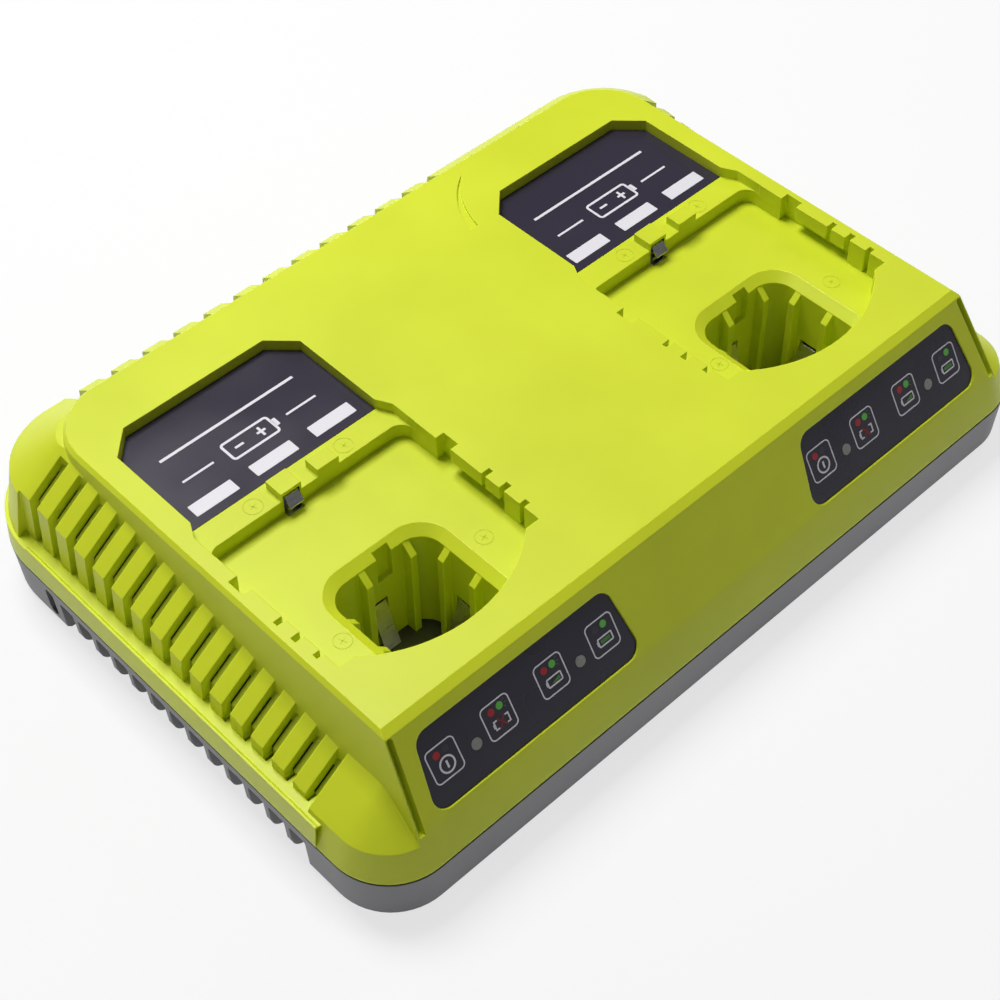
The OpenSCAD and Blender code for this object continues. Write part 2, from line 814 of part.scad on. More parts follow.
// Walls round a bay that belong to the upper housing
module bay_frame(bay) {
    clip_block_w = 22;
    shelf_low = shelf_z - label_t - wall;
    intersection() {
        translate([bay, 0, 0]) {
            translate([0, 0, tray_z]) linear_extrude(tray_depth) tray_outline(tray_half_w + wall, wall);
            translate([-clip_block_w, shelf_y, tray_z])
                cube([2 * clip_block_w, label_front_y - shelf_y, shelf_z - tray_z]);
            translate([0, 0, shelf_low]) linear_extrude(deck_z - shelf_low) {
                label_outline(wall);
                translate([-tray_half_w - wall, shelf_y])
                    square([2 * (tray_half_w + wall), label_front_y - shelf_y]);
            }
        }
        tower_form(0, joint_z);
    }
}

// Tray floor with the well for the battery's stem, set into the housing from below
module battery_tray(bay) {
    color(LIME) difference() {
        intersection() {
            translate([bay, 0, 0]) {
                translate([0, 0, tray_z - wall]) linear_extrude(wall) {
                    tray_outline(tray_half_w + wall, wall);
                    translate([0, 6]) square([44, 12], center = true);
                }
                translate([0, 0, well_low_z]) linear_extrude(tray_z - well_low_z) well_outline(well_wall);
            }
            union() {
                tower_form(wall + 0.1, joint_z);
                translate([-reach / 2, -reach / 2, 0]) cube([reach, reach, joint_z + over]);
            }
        }
        bay_cuts_with_blocks(bay);
    }
}

// Crescent step in the deck, between two arcs beside the right bay
module crescent_cut() {
    arc_r = 32;
    outer_at = [bay_x[1] - 9.6, 36.1];
    inner_at = [bay_x[1] - 6, 38.6];
    low_y = 44.2;
    translate([0, 0, deck_z - crescent_depth]) linear_extrude(crescent_depth + over) difference() {
        intersection() {
            translate(outer_at) circle(r = arc_r, $fn = 120);
            translate([outer_at[0] - arc_r, low_y]) square([arc_r, arc_r]);
        }
        translate(inner_at) circle(r = arc_r, $fn = 120);
    }
}

// Groove down each corner of the front face, with a round upper end
module edge_grooves() {
    lip = 0.3;
    top_s = 1.8;
    low_s = 28;
    turn = asin(deck_draft * cos(front_lean));
    r = groove_w / 2;
    on_front_face()
        for (side = [-1, 1])
            translate([side * (deck_half_w + deck_chamfer - lip), 0, -groove_d])
                rotate([0, 0, side * turn]) translate([-side * r, 0, 0]) {
                    translate([-r, -low_s, 0]) cube([groove_w, low_s - top_s - r, groove_d + 3]);
                    translate([0, -top_s - r, 0]) cylinder(h = groove_d + 3, r = r, $fn = small_fn);
                }
}

// Rounded trapezoid of the status panel; the origin is at the deck's front edge
module panel_outline(grow) {
    top_y = -panel_top_s + grow;
    low_y = -panel_top_s - panel_h - grow;
    r = panel_r + grow;
    top_x = panel_top_half_w + grow - r;
    low_x = panel_low_half_w + grow - r;
    hull() {
        for (side = [-1, 1]) {
            translate([side * top_x, top_y - r]) circle(r = r, $fn = 32);
            translate([side * low_x, low_y + r]) circle(r = r, $fn = 32);
        }
    }
}

module panel_seats() {
    on_front_face()
        for (x = bay_x) translate([x, 0, -panel_seat]) {
            linear_extrude(3) panel_outline(0.12);
            for (side = [-1, 1])
                translate([side * window_half, -window_s, -wall - 2])
                    cylinder(h = wall + 4, r = window_r + 0.1, $fn = 32);
        }
}

// Bosses of the upper housing for the case screws
module top_bosses() {
    for (at = screw_xy)
        translate([at[0], at[1], joint_z]) cylinder(h = deck_z - joint_z - 2, r = boss_r, $fn = small_fn);
}

module top_boss_bores() {
    for (at = screw_xy)
        translate([at[0], at[1], joint_z - over])
            cylinder(h = 11 + over, r = screw_r + screw_gap, $fn = small_fn);
}

module shadow_groove() {
    difference() {
        translate([-reach / 2, -reach / 2, joint_z - over]) cube([reach, reach, shadow_h + over]);
        drafted_block(half_w - shadow_d, -half_d + shadow_d, half_d - shadow_d, front_r - shadow_d,
            back_r - shadow_d, joint_z - 2 * over, joint_z + shadow_h + over, 0);
    }
}

module top_case() {
    color(LIME) difference() {
        union() {
            difference() {
                housing_outside();
                housing_inside();
                air_slits();
            }
            intersection() {
                housing_outside();
                top_bosses();
            }
            for (bay = bay_x) {
                bay_frame(bay);
                led_posts(bay);
            }
        }
        for (bay = bay_x) bay_cuts_with_blocks(bay);
        panel_seats();
        edge_grooves();
        crescent_cut();
        top_boss_bores();
        shadow_groove();
    }
}

// A bay's hollows, leaving the shelf blocks and the well ribs standing
module bay_cuts_with_blocks(bay) {
    difference() {
        bay_cuts(bay);
        translate([bay, 0, 0]) {
            difference() {
                shelf_blocks();
                clip_pocket();
            }
            well_ribs();
        }
    }
}

// ---------- lower housing ----------

module base_solid(inset, low) {
    drafted_block(half_w - inset, -half_d + inset, half_d - inset, front_r - inset, back_r - inset,
        low, joint_z, -base_draft);
}

// Gaps of the comb, and the small slot behind it
module comb_notches() {
    for (side = [-1, 1]) {
        for (i = [1:notches - 1])
            translate([side * half_w, notch_start_y - i * side_pitch, 0]) comb_gap();
        translate([side * half_w, notch_start_y, 0]) slot_notch(base_low_z + 2.7, notch_top_z + 0.8);
    }
}

// Gap between two ribs, open below, with small round upper corners
module comb_gap() {
    r = 1.2;
    half = notch_w / 2;
    translate([-notch_d, 0, 0]) rotate([90, 0, 90]) linear_extrude(2 * notch_d) {
        translate([-half, -over]) square([notch_w, notch_top_z - r + over]);
        translate([-half + r, -over]) square([notch_w - 2 * r, notch_top_z + over]);
        for (side = [-1, 1]) translate([side * (half - r), notch_top_z - r]) circle(r = r);
    }
}

// Upright slot with round ends, centred on its width
module slot_notch(low, high) {
    r = 1.85;
    translate([-notch_d, 0, 0]) rotate([90, 0, 90]) linear_extrude(2 * notch_d) {
        translate([0, high - r]) circle(r = r);
        translate([-r, low + r]) square([2 * r, high - low - 2 * r]);
        translate([0, low + r]) circle(r = r);
    }
}

// Rounds off the lower outer corners of the comb's ribs
module comb_round() {
    r = rib_round;
    first_y = notch_start_y - side_pitch + notch_w / 2;
    at_x = half_w - base_draft * (joint_z - base_low_z) - r;
    for (side = [0, 1]) mirror([side, 0, 0])
        translate([at_x, first_y, base_low_z]) rotate([90, 0, 0])
            linear_extrude((notches - 2) * side_pitch + notch_w) difference() {
                translate([0, -over]) square([r + over, r + over]);
                translate([0, r]) circle(r = r);
            }
}

module bottom_bosses() {
    for (at = screw_xy)
        translate([at[0], at[1], base_low_z]) cylinder(h = joint_z - base_low_z, r = boss_r + 0.8);
    for (at = board_screw_xy)
        translate([at[0], at[1], base_low_z + over]) cylinder(h = board_z - base_low_z - over, r = 3);
}

module bottom_bores() {
    for (at = screw_xy) {
        translate([at[0], at[1], 0]) cylinder(h = joint_z + over, r = screw_r + 0.25);
        translate([at[0], at[1], 0]) cylinder(h = base_low_z + 5, r = screw_head_r + 0.3);
    }
    for (at = board_screw_xy)
        translate([at[0], at[1], base_low_z + 1.6]) cylinder(h = joint_z, r = 1.1);
}

// Keyhole for hanging the charger on a wall screw
module keyholes() {
    for (side = [-1, 1]) translate([side * hang_x, hang_y, base_low_z - over]) {
        cylinder(h = floor_t + 2 * over, r = hang_head_r);
        translate([0, hang_slot, 0]) cylinder(h = floor_t + 2 * over, r = hang_shank_r);
        translate([-hang_shank_r, 0, 0]) cube([2 * hang_shank_r, hang_slot, floor_t + 2 * over]);
    }
}

// Drain slots below each well
module drain_slots() {
    for (bay = bay_x)
        for (i = [-2:2])
            translate([bay + well_shift + i * 4.4, -44, base_low_z - over]) linear_extrude(floor_t + 2 * over) {
                translate([-1, 0]) square([2, 14]);
                circle(r = 1);
                translate([0, 14]) circle(r = 1);
            }
}

module inlet_cut() {
    translate([inlet_x - inlet_flange_w / 2 - 0.1, half_d - wall - 2, inlet_z - inlet_flange_h / 2 - 0.1])
        cube([inlet_flange_w + 0.2, wall + 4, inlet_flange_h + 0.2]);
}

module locating_rim() {
    difference() {
        drafted_block(half_w - wall - 0.15, -half_d + wall + 0.15, half_d - wall - 0.15,
            front_r - wall - 0.15, back_r - wall - 0.15, joint_z - 3, joint_z + rim_h, front_draft);
        drafted_block(half_w - wall - 0.15 - rim_t, -half_d + wall + 0.15 + rim_t,
            half_d - wall - 0.15 - rim_t, front_r - wall - 0.15 - rim_t,
            back_r - wall - 0.15 - rim_t, joint_z - 4, joint_z + rim_h + over, front_draft);
        for (at = screw_xy)
            translate([at[0], at[1], joint_z]) cylinder(h = rim_h + over, r = boss_r + 0.4);
    }
}

module bottom_case() {
    color(GREY) difference() {
        union() {
            difference() {
                union() {
                    base_solid(0, base_low_z + base_chamfer);
                    drafted_block(half_w - base_step, -half_d + base_step, half_d - base_step,
                        front_r - base_step, back_r - base_step,
                        base_low_z, base_low_z + base_chamfer, -1);
                }
                difference() {
                    translate([0, 0, over]) base_solid(wall, floor_z - over);
                    comb_backing();
                }
            }
            bottom_bosses();
            locating_rim();
            foot_sockets();
        }
        bottom_bores();
        comb_notches();
        comb_round();
        keyholes();
        drain_slots();
        inlet_cut();
        for (at = foot_xy)
            translate([at[0], at[1], 0]) cylinder(h = base_low_z + foot_seat, r = foot_r + 0.1);
    }
}

// Thicker wall behind the comb, so that the notches stay blind
module comb_backing() {
    inner = notch_d + 2.2;
    front = -half_d + 22;
    back = half_d - 30;
    for (side = [0, 1]) mirror([side, 0, 0])
        translate([half_w - inner, front, floor_z - over])
            cube([inner, back - front, joint_z - floor_z + 2 * over]);
}

module foot_sockets() {
    for (at = foot_xy)
        translate([at[0], at[1], base_low_z + foot_seat]) cylinder(h = floor_t, r = foot_r + 1.4);
}

module foot(i) {
    color([0.12, 0.12, 0.12]) translate([foot_xy[i][0], foot_xy[i][1], 0]) {
        cylinder(h = 0.5, r1 = foot_r - 0.5, r2 = foot_r);
        translate([0, 0, 0.5]) cylinder(h = base_low_z + foot_seat - 0.5, r = foot_r);
    }
}

// ---------- plates and windows ----------

module label_plate(bay) {
    color(DARK) translate([bay, 0, shelf_z - label_t]) linear_extrude(label_t) label_outline(0);
}

module status_panel(bay) {
    color(DARK) on_front_face() translate([bay, 0, -panel_seat]) difference() {
        linear_extrude(panel_t) panel_outline(0);
        for (side = [-1, 1])
            translate([side * window_half, -window_s, -over]) cylinder(h = panel_t + 2 * over, r = window_r + 0.1);
    }
}

module light_pipe(bay, side) {
    color([0.75, 0.75, 0.72, 0.8]) on_front_face()
        translate([bay + side * window_half, -window_s, -pipe_low]) {
            cylinder(h = pipe_low - panel_sink + 0.1, r = window_r);
            cylinder(h = 1, r = window_r + 0.7);
        }
}

// ---------- boards behind the panels ----------

module led_board(bay) {
    color([0.1, 0.35, 0.15]) on_front_face() difference() {
        translate([bay - led_board_w / 2, -window_s - led_board_h / 2, -led_board_drop - board_t])
            cube([led_board_w, led_board_h, board_t]);
        for (side = [-1, 1])
            translate([bay + side * led_post_x, -window_s, -led_board_drop - board_t - over])
                cylinder(h = board_t + 2 * over, r = stake_r + 0.1);
    }
}

// Posts that carry an indicator board, each with a stake through the board
module led_posts(bay) {
    on_front_face()
        for (side = [-1, 1]) translate([bay + side * led_post_x, -window_s, 0]) {
            translate([0, 0, -led_board_drop])
                cylinder(h = led_board_drop - wall + over, r = 1.5, $fn = small_fn);
            translate([0, 0, -led_board_drop - board_t - 0.8])
                cylinder(h = led_board_drop, r = stake_r, $fn = small_fn);
        }
}

module status_leds(bay) {
    led_r = 1.5;
    color([0.9, 0.9, 0.85, 0.8]) on_front_face()
        for (side = [-1, 1])
            translate([bay + side * window_half, -window_s, -led_board_drop]) {
                cylinder(h = 0.8, r = led_r + 0.3);
                cylinder(h = led_r + 0.1, r = led_r);
                translate([0, 0, led_r + 0.1]) sphere(r = led_r);
            }
}

// ---------- contacts ----------

// Strip of constant thickness along a bent path of [across, up] points
module bent_strip(path, t, w) {
    translate([-w / 2, 0, 0]) rotate([90, 0, 90]) linear_extrude(w)
        for (i = [0:len(path) - 2]) strip_piece(path[i], path[i + 1], t);
}

module strip_piece(a, b, t) {
    d = b - a;
    angle = atan2(d[1], d[0]);
    translate(a) rotate(angle) translate([0, -t / 2]) square([norm(d), t]);
    translate(a) circle(r = t / 2, $fn = 24);
    translate(b) circle(r = t / 2, $fn = 24);
}

module contact(place) {
    color([0.8, 0.8, 0.78]) at_contact(place) bent_strip(leaf_path, leaf_t, leaf_w);
}

module contact_block() {
    block_w = 9;
    block_d = 4.4;
    slot = leaf_t + 2 * leaf_gap;
    translate([0, 0, floor_z]) difference() {
        translate([-block_w / 2, -well_wall - 0.6 - block_d, 0]) cube([block_w, block_d, 6]);
        translate([-leaf_w / 2 - 0.4, contact_foot_y - 0.6, contact_foot_z - floor_z - slot / 2])
            cube([leaf_w + 0.8, block_d, slot]);
    }
}

module contact_blocks(bay) {
    color([0.15, 0.15, 0.16]) {
        at_contact(plus_place(bay)) contact_block();
        at_contact(minus_place(bay)) contact_block();
        at_contact(sense_place(bay)) contact_block();
    }
}

// Catch spring at the front of the shelf: x along the shelf, y towards the battery, z up
module retaining_clip(bay) {
    low_z = pocket_low_z + clip_t / 2 + 0.05;
    color([0.85, 0.85, 0.87]) translate([bay + clip_x, shelf_y, 0]) rotate([0, 0, 180])
        bent_strip([
            [0.6, low_z], [-2.6, low_z], [-2.6, shelf_z + 0.4], [-0.2, shelf_z + 0.4],
            [clip_reach, tray_z + 3], [0.2, tray_z + 1],
        ], clip_t, clip_w);
}

// ---------- main board and what it carries ----------

module main_board() {
    color([0.1, 0.35, 0.15]) difference() {
        translate([-board_w / 2, board_y - board_d / 2, board_z]) cube([board_w, board_d, board_t]);
        for (at = board_screw_xy)
            translate([at[0], at[1], board_z - over]) cylinder(h = board_t + 2 * over, r = 1.7);
    }
}

module transformer_core() {
    leg_d = transformer_d / 2;
    color([0.25, 0.25, 0.27]) translate([transformer_at[0], transformer_at[1], board_top_z + 3])
        difference() {
            translate([-transformer_w / 2, -leg_d, 0]) cube([transformer_w, transformer_d, transformer_h]);
            difference() {
                translate([-transformer_w / 2 + core_yoke, -leg_d - over, core_yoke - 1])
                    cube([transformer_w - 2 * core_yoke, transformer_d + 2 * over,
                        transformer_h - 2 * core_yoke + 2]);
                cylinder(h = transformer_h, r = core_leg_r);
            }
        }
}

module transformer_winding() {
    inner = core_leg_r + 0.1;
    outer = transformer_w / 2 - core_yoke - 0.2;
    low = core_yoke - 1 + 0.1;
    high = transformer_h - core_yoke + 1 - 0.1;
    color([0.85, 0.65, 0.2]) translate([transformer_at[0], transformer_at[1], board_top_z + 3]) {
        rotate_extrude() {
            translate([inner, low]) square([outer - inner, 1.2]);
            translate([inner, high - 1.2]) square([outer - inner, 1.2]);
            translate([inner, low]) square([outer - inner - 1, high - low]);
        }
        for (side = [-1, 1])
            translate([-bobbin_foot_w / 2, side * bobbin_foot_y - bobbin_foot_d / 2, -3])
                cube([bobbin_foot_w, bobbin_foot_d, low + 3 + 0.6]);
    }
}

// Can with a rolled waist above its foot
module capacitor(r, h, foot, waist) {
    cylinder(h = foot, r = r);
    translate([0, 0, foot]) cylinder(h = 2 * waist, r = r - waist);
    translate([0, 0, foot + 2 * waist]) cylinder(h = h, r = r);
}

module bulk_capacitor() {
    color([0.1, 0.12, 0.3]) translate([bulk_at[0], bulk_at[1], board_top_z])
        capacitor(bulk_r, bulk_h, bulk_foot_h, bulk_waist);
}

module output_capacitors() {
    color([0.1, 0.12, 0.3])
        for (x = output_x) translate([x, output_y, board_top_z])
            capacitor(output_r, output_h, output_foot_h, output_waist);
}

module line_choke() {
    color([0.3, 0.3, 0.32]) translate([choke_at[0], choke_at[1], board_top_z + 4])
        rotate_extrude() translate([choke_inner_r, 0]) square([choke_w, choke_h]);
}

// Turns of wire round the choke's ring
module choke_winding() {
    t = 0.8;
    gap = 0.08;
    color([0.8, 0.45, 0.2]) translate([choke_at[0], choke_at[1], board_top_z + 4]) {
        for (a = [20:20:160]) for (half = [0, 180]) rotate([0, 0, a + half]) difference() {
            translate([choke_inner_r - t, -t / 2, -t]) cube([choke_w + 2 * t, t, choke_h + 2 * t]);
            translate([choke_inner_r - gap, -t / 2 - over, -gap])
                cube([choke_w + 2 * gap, t + 2 * over, choke_h + 2 * gap]);
        }
        for (a = [20, 160, 200, 340]) rotate([0, 0, a])
            translate([choke_inner_r + choke_w + gap, -t / 2, -4]) cube([t - gap, t, 4]);
    }
}

module fuse() {
    color([0.85, 0.9, 0.95, 0.6]) translate([fuse_at[0], fuse_at[1], board_top_z + fuse_z])
        rotate([0, 90, 0]) cylinder(h = fuse_len, r = fuse_r, center = true);
}

module fuse_clips() {
    clip_r = fuse_r + fuse_clip_t;
    color([0.8, 0.75, 0.5])
        for (side = [-1, 1])
            translate([fuse_at[0] + side * fuse_clip_x, fuse_at[1], board_top_z]) rotate([90, 0, 90])
                linear_extrude(fuse_clip_w, center = true) difference() {
                    union() {
                        translate([-clip_r, 0]) square([2 * clip_r, 1]);
                        translate([-0.5, 0]) square([1, fuse_z - fuse_r + fuse_clip_t]);
                        translate([0, fuse_z]) circle(r = clip_r);
                    }
                    translate([0, fuse_z]) circle(r = fuse_r);
                    translate([-1.6, fuse_z + 1]) square([3.2, 4]);
                }
}

module heat_sink() {
    fins = 6;
    color([0.75, 0.76, 0.78]) translate([sink_at[0], sink_at[1], board_top_z]) {
        cube([sink_t, sink_d, sink_h]);
        for (i = [0:fins - 1])
            translate([over - fin_reach, fin_start + i * fin_pitch, 0]) cube([fin_reach, fin_t, sink_h]);
    }
}

module power_transistors() {
    color([0.12, 0.12, 0.13])
        translate([sink_at[0] + sink_t, sink_at[1] + transistor_start, board_top_z])
            for (i = [0:1]) translate([0, i * transistor_pitch, 0]) {
                translate([0, 0, transistor_lift]) cube([transistor_t, transistor_w, transistor_h]);
                translate([0, 0, transistor_lift]) cube([transistor_tab_t, transistor_w, transistor_tab_h]);
                for (k = [0:2])
                    translate([2, 2 + k * lead_pitch, 0]) cube([0.6, 0.8, transistor_lift + over]);
            }
}

module board_connectors() {
    color([0.92, 0.9, 0.82])
        for (side = [-1, 1]) for (y = plug_y)
            translate([side * plug_x - plug_w / 2, board_y + y, board_top_z]) difference() {
                cube([plug_w, plug_d, plug_h]);
                translate([plug_wall, plug_wall, plug_floor])
                    cube([plug_w - 2 * plug_wall, plug_d - 2 * plug_wall, plug_h - plug_floor + over]);
            }
}

// ---------- mains inlet ----------

// Two-lobed outline of the inlet's opening
module inlet_outline(grow) {
    r = inlet_h / 2 + grow;
    for (side = [-1, 1]) translate([side * (inlet_w - inlet_h) / 2, 0]) circle(r = r);
    translate([-(inlet_w - inlet_h) / 2, -r]) square([inlet_w - inlet_h, 2 * r]);
}

module mains_inlet() {
    depth = 15;
    color([0.1, 0.1, 0.11]) translate([inlet_x, half_d - 0.4, inlet_z]) rotate([90, 0, 0]) difference() {
        union() {
            translate([-inlet_flange_w / 2, -inlet_flange_h / 2, 0])
                cube([inlet_flange_w, inlet_flange_h, wall + 1]);
            linear_extrude(depth) inlet_outline(1.2);
        }
        translate([0, 0, -over]) linear_extrude(depth - 2 + over) inlet_outline(0);
        for (side = [-1, 1]) translate([side * inlet_pin_x, 0, -over]) cylinder(h = depth + 2 * over, r = pin_r);
    }
}

module inlet_pins() {
    color([0.8, 0.7, 0.4]) translate([inlet_x, half_d - 0.4, inlet_z]) rotate([90, 0, 0])
        for (side = [-1, 1]) translate([side * inlet_pin_x, 0, 3.4]) {
            cylinder(h = 14, r = pin_r);
            sphere(r = pin_r);
        }
}

// ---------- fasteners ----------

module case_screws() {
    head_z = base_low_z + 5;
    color([0.7, 0.7, 0.72])
        for (at = screw_xy) translate([at[0], at[1], head_z - 2]) difference() {
            union() {
                cylinder(h = 2, r = screw_head_r);
                cylinder(h = joint_z + 9 - head_z + 2, r = screw_r);
            }
            translate([0, 0, 0.4]) for (a = [0, 90]) rotate([0, 0, a])
                cube([3, 0.6, 1.8], center = true);
        }
}

module board_screws() {
    color([0.7, 0.7, 0.72])
        for (at = board_screw_xy) translate([at[0], at[1], base_low_z + 2.4]) {
            cylinder(h = board_top_z - base_low_z - 2.4, r = 1.05);
            translate([0, 0, board_top_z - base_low_z - 2.4]) cylinder(h = 1.4, r = 2.4);
        }
}

top_case();
battery_tray(bay_x[0]);  // battery_tray_left
battery_tray(bay_x[1]);  // battery_tray_right
bottom_case();
label_plate(bay_x[0]);  // label_plate_left
label_plate(bay_x[1]);  // label_plate_right
status_panel(bay_x[0]);  // status_panel_left
status_panel(bay_x[1]);  // status_panel_right
light_pipe(bay_x[0], -1);  // light_pipe_left_a
light_pipe(bay_x[0], 1);  // light_pipe_left_b
light_pipe(bay_x[1], -1);  // light_pipe_right_a
light_pipe(bay_x[1], 1);  // light_pipe_right_b
led_board(bay_x[0]);  // led_board_left
led_board(bay_x[1]);  // led_board_right
status_leds(bay_x[0]);  // status_leds_left
status_leds(bay_x[1]);  // status_leds_right
retaining_clip(bay_x[0]);  // retaining_clip_left
retaining_clip(bay_x[1]);  // retaining_clip_right
contact(plus_place(bay_x[0]));  // plus_contact_left
contact(minus_place(bay_x[0]));  // minus_contact_left
contact(sense_place(bay_x[0]));  // sense_contact_left
contact(plus_place(bay_x[1]));  // plus_contact_right
contact(minus_place(bay_x[1]));  // minus_contact_right
contact(sense_place(bay_x[1]));  // sense_contact_right
contact_blocks(bay_x[0]);  // contact_blocks_left
contact_blocks(bay_x[1]);  // contact_blocks_right
main_board();
transformer_core();
transformer_winding();
bulk_capacitor();
output_capacitors();
line_choke();
choke_winding();
fuse();
fuse_clips();
heat_sink();
power_transistors();
board_connectors();
mains_inlet();
inlet_pins();
foot(0);  // foot_front_left
foot(1);  // foot_back_left
foot(2);  // foot_front_right
foot(3);  // foot_back_right
case_screws();
board_screws();
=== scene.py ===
import math

import bmesh
import bpy
import numpy as np
from mathutils import Matrix, Vector


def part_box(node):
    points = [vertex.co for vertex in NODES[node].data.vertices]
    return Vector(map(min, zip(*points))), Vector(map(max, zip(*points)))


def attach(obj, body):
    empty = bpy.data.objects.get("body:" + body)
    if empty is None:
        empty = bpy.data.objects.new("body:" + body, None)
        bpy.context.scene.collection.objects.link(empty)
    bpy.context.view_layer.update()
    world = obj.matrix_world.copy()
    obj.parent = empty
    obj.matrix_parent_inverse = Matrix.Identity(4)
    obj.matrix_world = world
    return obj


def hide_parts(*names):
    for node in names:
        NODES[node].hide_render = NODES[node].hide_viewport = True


bl_info = {
    "name": "Tool battery charger",
    "version": (1, 0, 0),
    "blender": (4, 5, 0),
    "location": "View3D > Sidebar > Charger",
    "description": "Dresses a two-bay tool battery charger around its fixed frame",
    "category": "Add Mesh",
}

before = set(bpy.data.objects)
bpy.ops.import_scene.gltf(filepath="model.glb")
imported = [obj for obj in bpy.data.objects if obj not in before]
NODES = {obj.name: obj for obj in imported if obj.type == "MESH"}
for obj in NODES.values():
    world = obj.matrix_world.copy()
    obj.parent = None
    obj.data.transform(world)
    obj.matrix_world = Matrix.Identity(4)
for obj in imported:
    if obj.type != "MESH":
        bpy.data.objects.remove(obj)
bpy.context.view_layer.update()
MM = 0.001
SIDES = ("left", "right")

# Places that the pieces are set out from, in metres, taken from the frame's own boxes
LABEL_BOX = {side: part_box(f"label_plate_{side}") for side in SIDES}
BAY_X = {side: (LABEL_BOX[side][0].x + LABEL_BOX[side][1].x) / 2 for side in SIDES}
DECK_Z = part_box("top_case")[1].z
# Edges that turn by more than this stay crisp
SHARP_ANGLE = math.radians(25)
# The front face leans back by this angle from upright, and meets the deck at this depth
FRONT_LEAN = math.radians(32)
FRONT_EDGE_Y = -0.06725


# ---------------------------------------------------------------- settings

def colour(name, default, description):
    """A colour property in linear light, 0 to 1."""
    return bpy.props.FloatVectorProperty(
        name=name, description=description, subtype="COLOR", size=4, min=0, max=1, default=default)


def length(name, default, description):
    """A length property in metres."""
    return bpy.props.FloatProperty(
        name=name, description=description, unit="LENGTH", default=default, precision=5)


def angle(name, degrees, description):
    """An angle property, kept in radians."""
    return bpy.props.FloatProperty(
        name=name, description=description, subtype="ANGLE", default=math.radians(degrees))


def power(name, default, description):
    """A lamp's power property in watts."""
    return bpy.props.FloatProperty(
        name=name, description=description, unit="POWER", default=default)


def linear(red, green, blue):
    """Colour from screen values of 0 to 255 to linear light, by the sRGB curve."""
    values = []
    for v in (red, green, blue):
        v = v / 255
        values.append(v / 12.92 if v <= 0.04045 else ((v + 0.055) / 1.055) ** 2.4)
    return (*values, 1.0)


class ChargerColours(bpy.types.PropertyGroup):
    """Colours of the charger's finishes"""
    lime: colour("Lime housing", linear(214, 226, 44), "Moulded colour of the upper housing")
    grey: colour("Grey housing", linear(122, 122, 126), "Moulded colour of the lower housing")
    label: colour("Label", linear(52, 47, 62), "Film on the labels")
    panel: colour("Panel", linear(30, 27, 48), "Film on the status panels")
    print_white: colour("White print", linear(232, 229, 236), "Marks printed on labels and panels")
    red: colour("Red print", linear(176, 22, 26), "Red marks on the panels")
    green: colour("Green print", linear(96, 190, 70), "Green marks on the panels")
    window: colour("Window", linear(165, 165, 160), "Light windows in the panels")
    steel: colour("Steel", (0.78, 0.78, 0.8, 1), "Clips and contacts")
    floor: colour("Floor", (0.9, 0.9, 0.9, 1), "Studio floor")


class ChargerSizes(bpy.types.PropertyGroup):
    """Sizes of the charger's finish"""
    edge: length("Edge radius", 0.00035, "Rounding of the housings' moulded edges")
    grain: length("Grain", 0.00035, "Size of the moulded surface grain")
    ink: length("Ink", 0.00004, "Thickness of the printed marks")


class ChargerStage(bpy.types.PropertyGroup):
    """Camera and studio"""
    camera_at: bpy.props.FloatVectorProperty(
        name="Camera", description="Place of the camera", subtype="TRANSLATION", size=3,
        default=(-0.25602, -0.27057, 0.42243))
    azimuth: angle("Azimuth", -42.958, "Heading of the camera, 0 looks along +Y")
    elevation: angle("Elevation", 49.111, "Downward angle of the camera")
    roll: angle("Roll", -0.875, "Tilt of the camera about its own axis")
    lens: bpy.props.FloatProperty(
        name="Lens", description="Focal length on a 36 mm sensor", unit="CAMERA", default=71.024)
    top_light: power("Top light", 10.0, "Power of the overhead lamp")
    side_light: power("Side light", 2.0, "Power of the lamp at the right")
    back_light: power("Back light", 2.0, "Power of the low lamp behind")
    world_light: bpy.props.FloatProperty(
        name="World light", description="Strength of the pale surroundings", default=0.12)


def colours():
    """The scene's colour settings."""
    return bpy.context.scene.charger_colours


def sizes():
    """The scene's size settings."""
    return bpy.context.scene.charger_sizes


def stage_settings():
    """The scene's camera and studio settings."""
    return bpy.context.scene.charger_stage


# ---------------------------------------------------------------- materials

